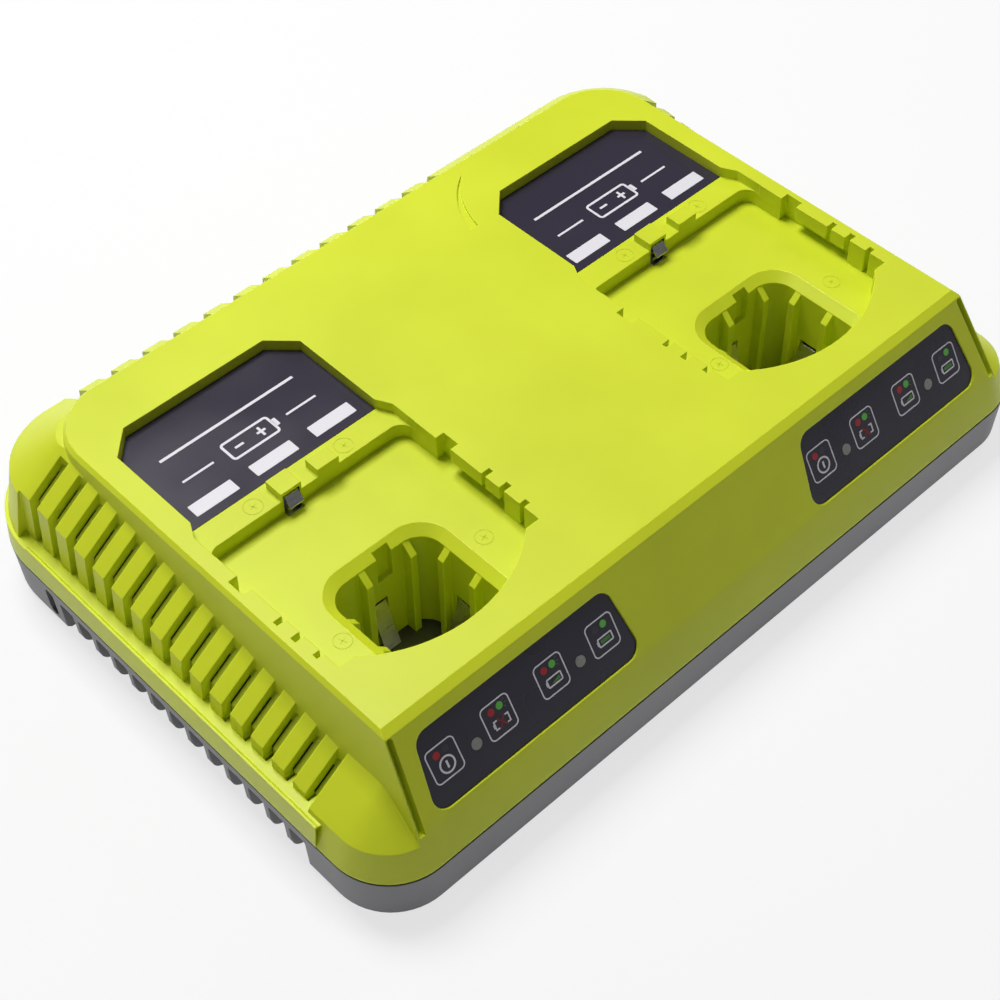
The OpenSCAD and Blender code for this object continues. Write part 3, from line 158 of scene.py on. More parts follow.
class Shader:
    """Short hand for building one node material."""

    def __init__(self, name):
        """An empty material with its surface shader, its output and its place coordinates."""
        self.material = bpy.data.materials.new(name)
        self.material.use_nodes = True
        self.tree = self.material.node_tree
        self.tree.nodes.clear()
        self.out = self.add("ShaderNodeOutputMaterial")
        self.surface = self.add("ShaderNodeBsdfPrincipled")
        self.link(self.surface.outputs[0], self.out.inputs["Surface"])
        self.place = self.add("ShaderNodeTexCoord").outputs["Object"]

    def add(self, kind, **settings):
        """Adds a node and sets its own settings."""
        node = self.tree.nodes.new(kind)
        for key, value in settings.items():
            setattr(node, key, value)
        return node

    def link(self, a, b):
        """Links an output to an input."""
        self.tree.links.new(a, b)

    def put(self, socket, value):
        """Sets a socket to a number or colour, or links another socket to it."""
        if isinstance(value, bpy.types.NodeSocket):
            self.link(value, socket)
        else:
            socket.default_value = value

    def noise(self, scale, detail=3.0, roughness=0.5, vector=None):
        """Cloudy noise of about 0.3 to 0.7; scale is its spots in a metre."""
        node = self.add("ShaderNodeTexNoise")
        node.inputs["Scale"].default_value = scale
        node.inputs["Detail"].default_value = detail
        node.inputs["Roughness"].default_value = roughness
        self.link(vector or self.place, node.inputs["Vector"])
        return node.outputs["Fac"]

    def math(self, operation, a, b=0.0):
        """One sum, product or test of one or two values."""
        node = self.add("ShaderNodeMath", operation=operation)
        for socket, value in zip(node.inputs, (a, b)):
            self.put(socket, value)
        return node.outputs[0]

    def ramp(self, value, low, high, to_low=0.0, to_high=1.0):
        """Maps value from low..high to to_low..to_high, clamped."""
        node = self.add("ShaderNodeMapRange")
        for socket, v in zip(node.inputs, (value, low, high, to_low, to_high)):
            self.put(socket, v)
        return node.outputs[0]

    def spread(self, noise, to_low=0.0, to_high=1.0):
        """Stretches the usual range of a noise to to_low..to_high."""
        return self.ramp(noise, 0.3, 0.7, to_low, to_high)

    def mix(self, amount, a, b):
        """A colour between a and b; 6 and 7 are the node's colour inputs, 2 its colour output."""
        node = self.add("ShaderNodeMix", data_type="RGBA")
        self.put(node.inputs["Factor"], amount)
        self.put(node.inputs[6], a)
        self.put(node.inputs[7], b)
        return node.outputs[2]

    def bump(self, height, distance, strength=1.0, normal=None):
        """Normal tilted by a height; distance is its depth in metres."""
        node = self.add("ShaderNodeBump")
        node.inputs["Distance"].default_value = distance
        node.inputs["Strength"].default_value = strength
        self.link(height, node.inputs["Height"])
        if normal is not None:
            self.link(normal, node.inputs["Normal"])
        return node.outputs[0]

    def edge_normal(self, radius):
        """Normal that turns softly over an edge, as on a small moulded radius."""
        node = self.add("ShaderNodeBevel", samples=6)
        node.inputs["Radius"].default_value = radius
        return node.outputs[0]

    def finish(self, **values):
        """Sets the surface shader's sockets by name, and gives the material."""
        for key, value in values.items():
            self.put(self.surface.inputs[key.replace("_", " ")], value)
        return self.material


def shade(base, factor):
    """A colour made lighter or darker by a factor, kept within 0 to 1."""
    return (*[min(1.0, max(0.0, v * factor)) for v in tuple(base)[:3]], 1.0)


# Moulded plastic: how many spots its mottle and its waves have in a metre, how deep its grain and
# waves are in metres, and the cosine of the softened normal's turn where the painted highlight on
# an edge starts and where it is brightest
MOTTLE_SPOTS, WAVE_SPOTS, GRAIN_DEPTH, WAVE_DEPTH = 22.0, 60.0, 0.00002, 0.00004
EDGE_STARTS, EDGE_LIGHTEST = 0.995, 0.93


def moulded_plastic(name, base, grain, rough=0.42, mottle=0.05, edge=1.3, gloss=0.5):
    """Injection-moulded plastic: fine grain, faint mottle, and a painted highlight that makes edges
    lighter where the softened normal turns away from the face's own; edge is how much lighter."""
    s = Shader(name)
    fine = s.noise(1 / grain, 2.0, 0.6)
    broad = s.noise(MOTTLE_SPOTS)
    cloudy = s.mix(s.spread(broad), shade(base, 1 - mottle), shade(base, 1 + mottle))
    soft = s.edge_normal(sizes().edge)
    turn = s.add("ShaderNodeVectorMath", operation="DOT_PRODUCT")
    s.link(soft, turn.inputs[0])
    s.link(s.add("ShaderNodeNewGeometry").outputs["Normal"], turn.inputs[1])
    # Painted highlight: the colour is lighter where the softened normal turns from the face's own
    edge_highlight = s.ramp(turn.outputs["Value"], EDGE_STARTS, EDGE_LIGHTEST)
    tint = s.mix(edge_highlight, cloudy, shade(base, edge))
    normal = s.bump(fine, GRAIN_DEPTH, 1.0, soft)
    wave = s.noise(WAVE_SPOTS, 2.0)
    normal = s.bump(wave, WAVE_DEPTH, 0.25, normal)
    even = s.math("ADD", s.math("MULTIPLY", fine, 0.5), s.math("MULTIPLY", broad, 0.5))
    return s.finish(Base_Color=tint, Roughness=s.spread(even, rough - 0.05, rough + 0.06),
                    Normal=normal, Specular_IOR_Level=gloss)


def printed_film(name, base, rough=0.32):
    """Plastic film: nearly flat, with a fine orange-peel and dust-like speckle."""
    s = Shader(name)
    fine = s.noise(2500.0, 2.0)
    broad = s.noise(35.0, 2.0)
    tint = s.mix(s.ramp(fine, 0.35, 0.75), shade(base, 0.93), shade(base, 1.1))
    normal = s.bump(fine, 0.000006)
    normal = s.bump(broad, 0.00003, 0.3, normal)
    return s.finish(Base_Color=tint, Roughness=s.spread(broad, rough - 0.04, rough + 0.06),
                    Normal=normal)


def ink(name, base):
    """Screen-printed ink with slightly uneven cover."""
    s = Shader(name)
    cover = s.noise(3000.0, 2.0, 0.6)
    tint = s.mix(s.spread(cover), shade(base, 0.93), base)
    return s.finish(Base_Color=tint, Roughness=0.45, Normal=s.bump(cover, 0.000004))


def bright_metal(name, base, rough=0.18):
    """Rolled metal: fine lines along X, by a noise stretched that way, and small roughness
    changes."""
    s = Shader(name)
    stretch = s.add("ShaderNodeMapping")
    stretch.inputs["Scale"].default_value = (0.08, 1.0, 1.0)
    s.link(s.place, stretch.inputs["Vector"])
    lines = s.noise(1400.0, 3.0, 0.6, stretch.outputs[0])
    return s.finish(Base_Color=s.mix(s.spread(lines), shade(base, 0.85), base), Metallic=1.0,
                    Roughness=s.spread(lines, rough, rough + 0.12), Normal=s.bump(lines, 0.000006))


def circuit_board(name, base):
    """Solder mask over copper tracks: a grid of darker and lighter lanes under a gloss coat."""
    s = Shader(name)
    bricks = s.add("ShaderNodeTexBrick")
    bricks.inputs["Scale"].default_value = 160.0
    bricks.inputs["Mortar Size"].default_value = 0.03
    bricks.inputs["Color1"].default_value = shade(base, 1.0)
    bricks.inputs["Color2"].default_value = shade(base, 1.5)
    bricks.inputs["Mortar"].default_value = shade(base, 0.6)
    s.link(s.place, bricks.inputs["Vector"])
    grain = s.noise(900.0)
    return s.finish(Base_Color=bricks.outputs["Color"], Roughness=s.spread(grain, 0.25, 0.4),
                    Normal=s.bump(bricks.outputs["Fac"], 0.00003, 0.4))


def rubber(name, base):
    """Matt rubber with a fine pitted skin."""
    s = Shader(name)
    pits = s.noise(1800.0, 3.0, 0.7)
    return s.finish(Base_Color=s.mix(pits, shade(base, 0.8), shade(base, 1.3)),
                    Roughness=s.spread(pits, 0.7, 0.85), Normal=s.bump(pits, 0.00004))


def clear_plastic(name, base):
    """Frosted light pipe or glass: milky and slightly see-through."""
    s = Shader(name)
    frost = s.noise(1600.0, 2.0, 0.6)
    return s.finish(Base_Color=s.mix(frost, shade(base, 0.9), shade(base, 1.1)),
                    Roughness=s.spread(frost, 0.25, 0.45),
                    Transmission_Weight=0.25, IOR=1.49, Normal=s.bump(frost, 0.00001))


# Finishes by name, put in by make_materials
MATERIALS = {}


def make_materials():
    """Every finish of the charger, by name."""
    c = colours()
    grain = sizes().grain
    # Every moulded plastic gets a painted highlight on its edges, as strong as its edge factor
    MATERIALS.update({
        "lime": moulded_plastic("lime_plastic", c.lime, grain, 0.4, gloss=0.35),
        "grey": moulded_plastic("grey_plastic", c.grey, grain, 0.5, 0.06, edge=1.5),
        "label": printed_film("label_film", c.label, 0.23),
        "panel": printed_film("panel_film", c.panel, 0.28),
        "white": ink("white_ink", c.print_white),
        "red": ink("red_ink", c.red),
        "green": ink("green_ink", c.green),
        "dark_red": ink("dark_red_ink", shade(c.red, 0.6)),
        "leaf_green": ink("leaf_green_ink", shade(c.green, 0.45)),
        "ray": ink("ray_ink", linear(92, 104, 86)),
        "dim": ink("dim_ink", linear(48, 44, 60)),
        "window": clear_plastic("window_plastic", c.window),
        "steel": bright_metal("spring_steel", c.steel),
        "contact": bright_metal("contact_metal", shade(c.steel, 0.95), 0.26),
        "board": circuit_board("solder_mask", linear(22, 74, 36)),
        # Painted shade: the channel floors are the lime made darker for the shade between the slats
        "channel": moulded_plastic("channel_painted_shade", shade(c.lime, 0.66), grain, 0.5),
        # Painted shadow: near-black plastic on the strips that fill the air slits' shade
        "slit": moulded_plastic("slit_shadow", linear(14, 15, 12), grain, 0.8),
        "black": moulded_plastic("black_plastic", linear(34, 34, 36), grain, 0.45),
        "ferrite": moulded_plastic("ferrite", linear(52, 52, 56), grain * 0.8, 0.65, 0.12),
        "tape": moulded_plastic("winding_tape", linear(204, 158, 52), grain * 2, 0.35, 0.1),
        "wire": bright_metal("enamelled_wire", linear(188, 104, 48), 0.3),
        "sleeve": printed_film("capacitor_sleeve", linear(28, 34, 84), 0.3),
        "glass": clear_plastic("fuse_glass", linear(214, 224, 226)),
        "brass": bright_metal("plated_brass", linear(208, 190, 130), 0.25),
        "aluminium": bright_metal("heat_sink_metal", linear(196, 198, 202), 0.34),
        "ivory": moulded_plastic("ivory_plastic", linear(226, 218, 190), grain, 0.45),
        "zinc": bright_metal("zinc_screws", linear(180, 180, 186), 0.3),
        "rubber": rubber("foot_rubber", linear(30, 30, 32)),
    })


def dress(node, material):
    """Gives a frame node's mesh one finish in place of its own."""
    mesh = NODES[node].data
    mesh.materials.clear()
    mesh.materials.append(MATERIALS[material])


# ---------------------------------------------------------------- meshes

# Corners of a frame node that are nearer than this, in metres, are the same corner
SAME_CORNER = 0.000002


def smooth_copy(node, name, material):
    """Stands in for a frame node: its loose triangles merged into one skin that shades smoothly
    over gentle turns and stays crisp at edges that turn by more than the sharp angle."""
    source = NODES[node]
    skin = bmesh.new()
    skin.from_mesh(source.data)
    skin.transform(source.matrix_world)
    bmesh.ops.remove_doubles(skin, verts=skin.verts, dist=SAME_CORNER)
    skin.normal_update()
    for face in skin.faces:
        face.smooth = True
    for line in skin.edges:
        line.smooth = len(line.link_faces) == 2 and line.calc_face_angle() < SHARP_ANGLE
    mesh = bpy.data.meshes.new(name)
    skin.to_mesh(mesh)
    skin.free()
    mesh.materials.append(MATERIALS[material])
    piece = bpy.data.objects.new(name, mesh)
    bpy.context.scene.collection.objects.link(piece)
    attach(piece, "housing")
    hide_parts(node)


def rounded_loop(width, height, radius, steps=7):
    """Outline of a rounded rectangle: each corner's centre plus the radius times the cosine and
    sine of an angle that turns through a quarter."""
    angle = np.arange(4)[:, None] * np.pi / 2 + np.linspace(0, np.pi / 2, steps)[None, :]
    sign = np.array([(1, 1), (-1, 1), (-1, -1), (1, -1)])
    centre = sign * (width / 2 - radius, height / 2 - radius)
    x = centre[:, :1] + radius * np.cos(angle)
    y = centre[:, 1:] + radius * np.sin(angle)
    return np.stack([x, y], axis=-1).reshape(-1, 2)


def circle_loop(radius, steps=32):
    """Circle: the radius times the cosine and sine of the angle."""
    angle = np.arange(steps) * 2 * np.pi / steps
    return radius * np.stack([np.cos(angle), np.sin(angle)], axis=-1)


def bar_loop(start, end, width):
    """Rectangle along a line: both ends moved half the width to either side."""
    a, b = np.array(start, float), np.array(end, float)
    along = (b - a) / np.linalg.norm(b - a)
    side = np.array((-along[1], along[0])) * width / 2
    return np.array([a - side, b - side, b + side, a + side])


def band(loop, width, low, high):
    """Closed band along an outline: every point moved half the width in and out along the
    outline's normal, at the low and the high level, as a ring of four-sided sections."""
    along = np.roll(loop, -1, axis=0) - np.roll(loop, 1, axis=0)
    normal = np.stack([along[:, 1], -along[:, 0]], axis=-1)
    normal /= np.linalg.norm(normal, axis=1)[:, None]
    outer, inner = loop + normal * width / 2, loop - normal * width / 2
    n = len(loop)
    section = np.stack([np.column_stack([line, np.full(n, level)]) for line, level in
                        ((outer, low), (outer, high), (inner, high), (inner, low))], axis=1)
    ring, corner = np.meshgrid(np.arange(n), np.arange(4), indexing="ij")
    follow, turn = (ring + 1) % n * 4, (corner + 1) % 4
    ring = ring * 4
    quads = np.stack([ring + corner, follow + corner, follow + turn, ring + turn], axis=-1)
    return section.reshape(-1, 3), quads.reshape(-1, 4).tolist()


def side_quads(n):
    """Quads that join an outline of n points to the same outline n points further on."""
    i = np.arange(n)
    return np.stack([i, (i + 1) % n, (i + 1) % n + n, i + n], axis=-1).tolist()


def plate(loop, low, high):
    """Flat plate: an outline at the low and the high level, joined by one quad per side."""
    n = len(loop)
    points = np.vstack([np.column_stack([loop, np.full(n, level)]) for level in (low, high)])
    return points, side_quads(n) + [list(range(n - 1, -1, -1)), list(range(n, 2 * n))]


class Sheet:
    """Collects shapes in millimetres, of several finishes, into one mesh laid out on a plane,
    which is level unless it says otherwise."""

    def __init__(self, origin, right=(1, 0, 0), up=(0, 1, 0), out=(0, 0, 1)):
        """The plane's origin in metres, its two directions and the one out of it."""
        self.origin = np.array(origin, float)
        self.axes = np.array([right, up, out], float)
        self.points, self.faces, self.inks, self.names = [], [], [], []

    def add(self, shape, material, at=(0.0, 0.0)):
        """Adds a shape's points and faces in one finish, moved to a place on the plane."""
        points, faces = shape
        if material not in self.names:
            self.names.append(material)
        start = sum(len(p) for p in self.points)
        moved = points + (at[0], at[1], 0.0)
        self.points.append(self.origin + MM * moved @ self.axes)
        self.faces += [[i + start for i in face] for face in faces]
        self.inks += [self.names.index(material)] * len(faces)

    def piece(self, name, body, slot):
        """One object from all shapes, its faces turned outward."""
        mesh = bpy.data.meshes.new(name)
        mesh.from_pydata(np.vstack(self.points).tolist(), [], self.faces)
        mesh.polygons.foreach_set("material_index", np.array(self.inks, dtype=np.int32))
        for material in self.names:
            mesh.materials.append(MATERIALS[material])
        skin = bmesh.new()
        skin.from_mesh(mesh)
        bmesh.ops.recalc_face_normals(skin, faces=skin.faces)
        skin.to_mesh(mesh)
        skin.free()
        made = bpy.data.objects.new(name, mesh)
        bpy.context.scene.collection.objects.link(made)
        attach(made, body)


# ---------------------------------------------------------------- operators

# Frame nodes that a piece stands in for, with the piece's name and finish
HOUSINGS = {
    "top_case": ("upper_housing", "lime"),
    "battery_tray_left": ("tray_floor_left", "lime"),
    "battery_tray_right": ("tray_floor_right", "lime"),
    "bottom_case": ("lower_housing", "grey"),
}


class CHARGER_OT_housings(bpy.types.Operator):
    """Finish the upper and lower housings and the two battery trays"""
    bl_idname = "charger.housings"
    bl_label = "Housings"

    def execute(self, context):
        for node, (name, material) in HOUSINGS.items():
            smooth_copy(node, name, material)
        return {"FINISHED"}


# Side shoulders, in millimetres. Half widths at the joint, and how far each wall leans in per
# height: the housing, the slats' wall and the tower
HALF_W, SLAT_HALF_W, SLAT_DRAFT, TOWER_HALF_W, TOWER_DRAFT = 123.1, 119.192, 0.08, 104.8, 0.14
# Heights of the joint, the ledge and the deck, and where the slats bend at mid depth
JOINT_Z, LEDGE_Z, DECK_HEIGHT, KNEE_HALF_W, KNEE_Z = 16.0, 23.6, 51.0, 117.92, 31.9
# Fall of the slats outward and their rise per depth towards the back, which makes a drop at right
# angles to them longer by the factor
SHOULDER_FALL = math.radians(35.5)
SHOULDER_SLOPE, SHOULDER_RISE, RISE_FACTOR = math.tan(SHOULDER_FALL), 0.1155, 1.0044
# Channels between the slats: how many, the back of the first, their pitch and width
CHANNELS, CHANNEL_START, CHANNEL_PITCH, CHANNEL_W = 15, 57.2, 7.874, 3.374
# How far the strips in the channels and the ledge's skin go into the housing
INSIDE = 0.3
# Strips in each channel: back and front edge from the channel's back, top and underside below the
# slats, and start from the tower's foot
# The floor strips carry the channels' painted shade
FLOOR_STRIP = (0.6, CHANNEL_W + 0.02, 2.55, 3.05, -INSIDE)
# The slit strips are dark sheets of painted shadow in the air slits
SLIT_STRIP = (-0.02, 1.3, 2.85, 3.05, 1.3)
# The ledge's straight part, and the skin over it: its ends, thickness, rim and lower edge
LEDGE_FRONT, LEDGE_BACK, SKIN, RIM, SKIRT_LOW = -61.3, 57.0, 0.02, 0.6, 0.6


def channel_path(y, inset, start):
    """Path down a channel at depth y: from the tower's foot plus start, down the shoulder's plane
    to the knee where that plane meets the wall, and down the wall to just inside the ledge, all
    lowered by inset at right angles to the shoulder and the wall."""
    lower = inset / math.cos(SHOULDER_FALL) * RISE_FACTOR
    level = KNEE_Z + SHOULDER_RISE * y + SHOULDER_SLOPE * KNEE_HALF_W - lower
    wall = SLAT_HALF_W - inset + SLAT_DRAFT * JOINT_Z
    knee_z = (level - SHOULDER_SLOPE * wall) / (1 - SHOULDER_SLOPE * SLAT_DRAFT)
    foot = TOWER_HALF_W + TOWER_DRAFT * DECK_HEIGHT + start
    top_x = (foot - TOWER_DRAFT * level) / (1 - TOWER_DRAFT * SHOULDER_SLOPE)
    low_z = np.full_like(y, LEDGE_Z - INSIDE)
    x = np.stack([top_x, wall - SLAT_DRAFT * knee_z, wall - SLAT_DRAFT * low_z], axis=-1)
    z = np.stack([level - SHOULDER_SLOPE * top_x, knee_z, low_z], axis=-1)
    return np.stack([x, np.repeat(y[:, None], 3, axis=1), z], axis=-1)


def channel_strips(way, strip):
    """One closed strip along each channel: the channel's path at two depths and two insets, joined
    by quads; way is -1 for the left shoulder and 1 for the right one."""
    back, front, top, low, start = strip
    y = CHANNEL_START - CHANNEL_PITCH * np.arange(CHANNELS)
    corners = [channel_path(y - d, inset, start) for d, inset in
               ((back, top), (front, top), (front, low), (back, low))]
    points = np.stack(corners, axis=2) * (way, 1, 1)
    # Both ends, then the four sides of each of the two steps
    quads = [(0, 3, 2, 1), (8, 9, 10, 11)]
    for step in (0, 4):
        quads += [(step + k, step + turn, step + 4 + turn, step + 4 + k)
                  for k, turn in enumerate((1, 2, 3, 0))]
    faces = (np.array(quads)[None] + 12 * np.arange(CHANNELS)[:, None, None]).reshape(-1, 4)
    return points.reshape(-1, 3), faces.tolist()


def ledge_skin(way):
    """Thin skin over a straight ledge, with a low rim along its outer edge: an outline across it,
    carried from its front end to its back end."""
    lean = SLAT_DRAFT * (LEDGE_Z - JOINT_Z)
    edge = HALF_W - SLAT_DRAFT * (LEDGE_Z + RIM - JOINT_Z) + SKIN
    slats = SLAT_HALF_W - lean + 0.01
    low, skirt = JOINT_Z + SKIRT_LOW, HALF_W - SLAT_DRAFT * SKIRT_LOW
    outline = np.array([
        (skirt + SKIN, low),
        (edge, LEDGE_Z + RIM),
        (edge - RIM, LEDGE_Z + RIM),
        (edge - 2 * RIM, LEDGE_Z + SKIN),
        (slats, LEDGE_Z + SKIN),
        (slats, LEDGE_Z - INSIDE),
        (HALF_W - lean - INSIDE, LEDGE_Z - INSIDE),
        (skirt - INSIDE, low),
    ])
    n = len(outline)
    ends = [np.column_stack([way * outline[:, 0], np.full(n, y), outline[:, 1]])
            for y in (LEDGE_FRONT, LEDGE_BACK)]
    # Each end in three parts without inward corners
    caps = [[0, 1, 6, 7], [1, 2, 3, 6], [3, 4, 5, 6]]
    faces = side_quads(n) + caps + [[k + n for k in cap[::-1]] for cap in caps]
    return np.vstack(ends), faces


class CHARGER_OT_shoulders(bpy.types.Operator):
    """Add the channels' floors in a painted shade, dark strips of painted shadow in the air
    slits beside them, and the ledges' skins
    """
    bl_idname = "charger.shoulders"
    bl_label = "Shoulders"

    def execute(self, context):
        for side, way in zip(SIDES, (-1, 1)):
            for name, material, shape in (
                    ("channel_floors", "channel", channel_strips(way, FLOOR_STRIP)),
                    ("slit_shadow_strips", "slit", channel_strips(way, SLIT_STRIP)),
                    ("ledge_skin", "lime", ledge_skin(way))):
                sheet = Sheet((0, 0, 0))
                sheet.add(shape, material)
                sheet.piece(f"{name}_{side}", "housing", "lime_plastic")
        return {"FINISHED"}


class CHARGER_OT_panel_marks(bpy.types.Operator):
    """Print the status pictograms on both panels"""
    bl_idname = "charger.panel_marks"
    bl_label = "Panel marks"

    def execute(self, context):
        for side in SIDES:
            panel_marks(side)
        return {"FINISHED"}


# Status pictograms, in millimetres. Frames: size, pitch, corner radius and line, and where the
# first one starts from the bay's middle and from the deck's front edge; how deep the panel lies
ICON_W, ICON_H, ICON_PITCH, ICON_CORNER, ICON_LINE = 8.67, 9.1, 17.38, 1.3, 0.36
ICON_LEFT, ICON_TOP, PANEL_SINK = -30.73, 11.2, 0.5
# In a frame, from its upper left corner: the lamp dots with the rays of one, whose headings are in
# degrees, the disc and the battery
LAMP_R, LEFT_LAMP, RIGHT_LAMP = 1.0, (2.85, 2.15), (5.65, 1.95)
RAYS, RAY_FROM, RAY_TO, RAY_LINE = (32, -3, -36), 1.4, 2.1, 0.16
DISC_AT, DISC_R, DISC_LINE, DISC_BAR, DISC_BAR_W = (4.6, 5.75), 2.1, 0.5, 1.0, 0.6
BATTERY_AT, BATTERY_W, BATTERY_H, BATTERY_LINE = (4.65, 5.9), 4.5, 2.2, 0.4
# The battery's cap, the short arms of the empty one, its crossing lines, and the charge in the
# part charged one, as a wedge, and in the full one
CAP_L, CAP_W, ARM_TO, CROSS_X, CROSS_Y, CROSS_LINE = 0.5, 1.2, 1.3, 1.15, 1.5, 0.42
WEDGE, CHARGE_W, CHARGE_H = ((-1.0, -0.55), (1.7, -0.65), (1.7, 0.5)), 3.1, 0.95
# Prints and mould marks reach this far into what they lie on
PRINT_FOOT = 0.01


def panel_marks(side):
    """Four rounded frames with lamp dots, and a battery or a disc in each."""
    lean = math.radians(90) - FRONT_LEAN
    sheet = Sheet((BAY_X[side], FRONT_EDGE_Y, DECK_Z), (1, 0, 0),
                  (0, math.cos(lean), math.sin(lean)), (0, -math.sin(lean), math.cos(lean)))
    low = -PANEL_SINK - PRINT_FOOT
    high = -PANEL_SINK + sizes().ink / MM

    def spot(i, u, v):
        """Place on the panel of a point right and down from frame i's corner."""
        return ICON_LEFT + i * ICON_PITCH + u, -ICON_TOP - v

    def stroke(i, start, end, width, material):
        """Adds a straight line in frame i."""
        line = bar_loop((start[0], -start[1]), (end[0], -end[1]), width)
        sheet.add(plate(line, low, high), material, spot(i, 0, 0))

    frame_outline = rounded_loop(ICON_W, ICON_H, ICON_CORNER)
    for i in range(4):
        sheet.add(band(frame_outline, ICON_LINE, low, high), "white",
                  spot(i, ICON_W / 2, ICON_H / 2))
        # The first frame's green dot and the last one's red dot are out
        left = "dim" if i == 3 else "red"
        right = "dim" if i == 0 else "green"
        sheet.add(plate(circle_loop(LAMP_R), low, high), left, spot(i, *LEFT_LAMP))
        sheet.add(plate(circle_loop(LAMP_R), low, high), right, spot(i, *RIGHT_LAMP))
        if i in (1, 2):
            for ray in RAYS:
                way = np.array((math.cos(math.radians(ray)), -math.sin(math.radians(ray))))
                stroke(i, RIGHT_LAMP + RAY_FROM * way, RIGHT_LAMP + RAY_TO * way, RAY_LINE, "ray")
    # Disc with a bar
    x, y = DISC_AT
    sheet.add(band(circle_loop(DISC_R, 40), DISC_LINE, low, high), "white", spot(0, x, y))
    stroke(0, (x, y - DISC_BAR), (x, y + DISC_BAR), DISC_BAR_W, "white")
    # Batteries: empty and crossed out, part charged, full
    x, y = BATTERY_AT
    end = BATTERY_W / 2
    for i in (1, 2, 3):
        stroke(i, (x - end - CAP_L, y), (x - end, y), CAP_W, "white")
        if i > 1:
            outline = rounded_loop(BATTERY_W, BATTERY_H, 0.1, 2)
            sheet.add(band(outline, BATTERY_LINE, low, high), "white", spot(i, x, y))
    half = BATTERY_H / 2
    for way in (-1, 1):
        tall = half + BATTERY_LINE / 2
        stroke(1, (x + way * end, y - tall), (x + way * end, y + tall), BATTERY_LINE, "white")
        for v in (y - half, y + half):
            stroke(1, (x + way * end, v), (x + way * ARM_TO, v), BATTERY_LINE, "white")
        stroke(1, (x - CROSS_X, y - way * CROSS_Y), (x + CROSS_X, y + way * CROSS_Y),
               CROSS_LINE, "dark_red")
    sheet.add(plate(np.array(WEDGE), low, high), "leaf_green", spot(2, x, y))
    charge = rounded_loop(CHARGE_W, CHARGE_H, 0.1, 2)
    sheet.add(plate(charge, low, high), "leaf_green", spot(3, x, y))
    sheet.piece(f"panel_marks_{side}", "housing", "panel_film")


class CHARGER_OT_label_marks(bpy.types.Operator):
    """Print plain battery marks on both labels"""
    bl_idname = "charger.label_marks"
    bl_label = "Label marks"

    def execute(self, context):
        for side in SIDES:
            label_marks(side)
        return {"FINISHED"}


# Label marks, in millimetres from the bay's middle: the three fields, the battery with its cap and
# signs, the short rules beside it and the long rule above
FIELD_W, FIELD_H, FIELD_PITCH, FIELD_Y = 13.6, 4.3, 19.5, 18.0
MARK_W, MARK_H, MARK_CORNER, MARK_LINE, MARK_Y = 15.0, 6.4, 0.9, 0.75, 27.6
CAP_AT, CAP_SIZE = 8.4, (1.3, 2.8)
SIGN_X, SIGN_W, SIGN_UPRIGHT, SIGN_OFF = 3.6, 2.8, 1.4, 1.05
SHORT_RULE_X, SHORT_RULE_W, SHORT_RULE_H = 17.0, 10.0, 0.7
LONG_RULE_Y, LONG_RULE_W, LONG_RULE_H = 37.2, 44.0, 0.9


def label_marks(side):
    """Three plain white fields, and above them a battery outline between two rules."""
    sheet = Sheet((BAY_X[side], 0, LABEL_BOX[side][1].z))
    low, high = -PRINT_FOOT, sizes().ink / MM

    def block(width, height, x, y, corner=0.1, steps=2):
        """Adds a plain white rectangle."""
        sheet.add(plate(rounded_loop(width, height, corner, steps), low, high), "white", (x, y))

    for x in (-FIELD_PITCH, 0.0, FIELD_PITCH):
        block(FIELD_W, FIELD_H, x, FIELD_Y, 0.25, 3)
    sheet.add(band(rounded_loop(MARK_W, MARK_H, MARK_CORNER), MARK_LINE, low, high), "white",
              (0, MARK_Y))
    block(*CAP_SIZE, CAP_AT, MARK_Y, 0.25, 3)
    for x in (-SIGN_X, SIGN_X):
        block(SIGN_W, MARK_LINE, x, MARK_Y)
    for y in (MARK_Y + SIGN_OFF, MARK_Y - SIGN_OFF):
        block(MARK_LINE, SIGN_UPRIGHT, SIGN_X, y)
    for x in (-SHORT_RULE_X, SHORT_RULE_X):
        block(SHORT_RULE_W, SHORT_RULE_H, x, MARK_Y)
    block(LONG_RULE_W, LONG_RULE_H, 0, LONG_RULE_Y)
    sheet.piece(f"label_marks_{side}", "housing", "label_film")


class CHARGER_OT_mould_marks(bpy.types.Operator):
    """Add the faint round ejector marks on tray floors and shelves"""
    bl_idname = "charger.mould_marks"
    bl_label = "Mould marks"

    def execute(self, context):
        for side in SIDES:
            mould_marks(side)
        return {"FINISHED"}


# Ejector marks in millimetres: the place from the bay's middle and the radius of each pin on the
# tray and on the shelf, the line's width and height, and the cross's reach by the radius and turn
TRAY_PINS = ((-23.3, -35.75, 2.4), (23.3, -35.75, 2.4))
SHELF_PINS = ((-14.2, 8.85, 2.6), (15.7, 8.85, 2.6))
HAIR_LINE, HAIR_HEIGHT, CROSS_REACH, CROSS_TURNS = 0.16, 0.05, 0.45, (20, 110)


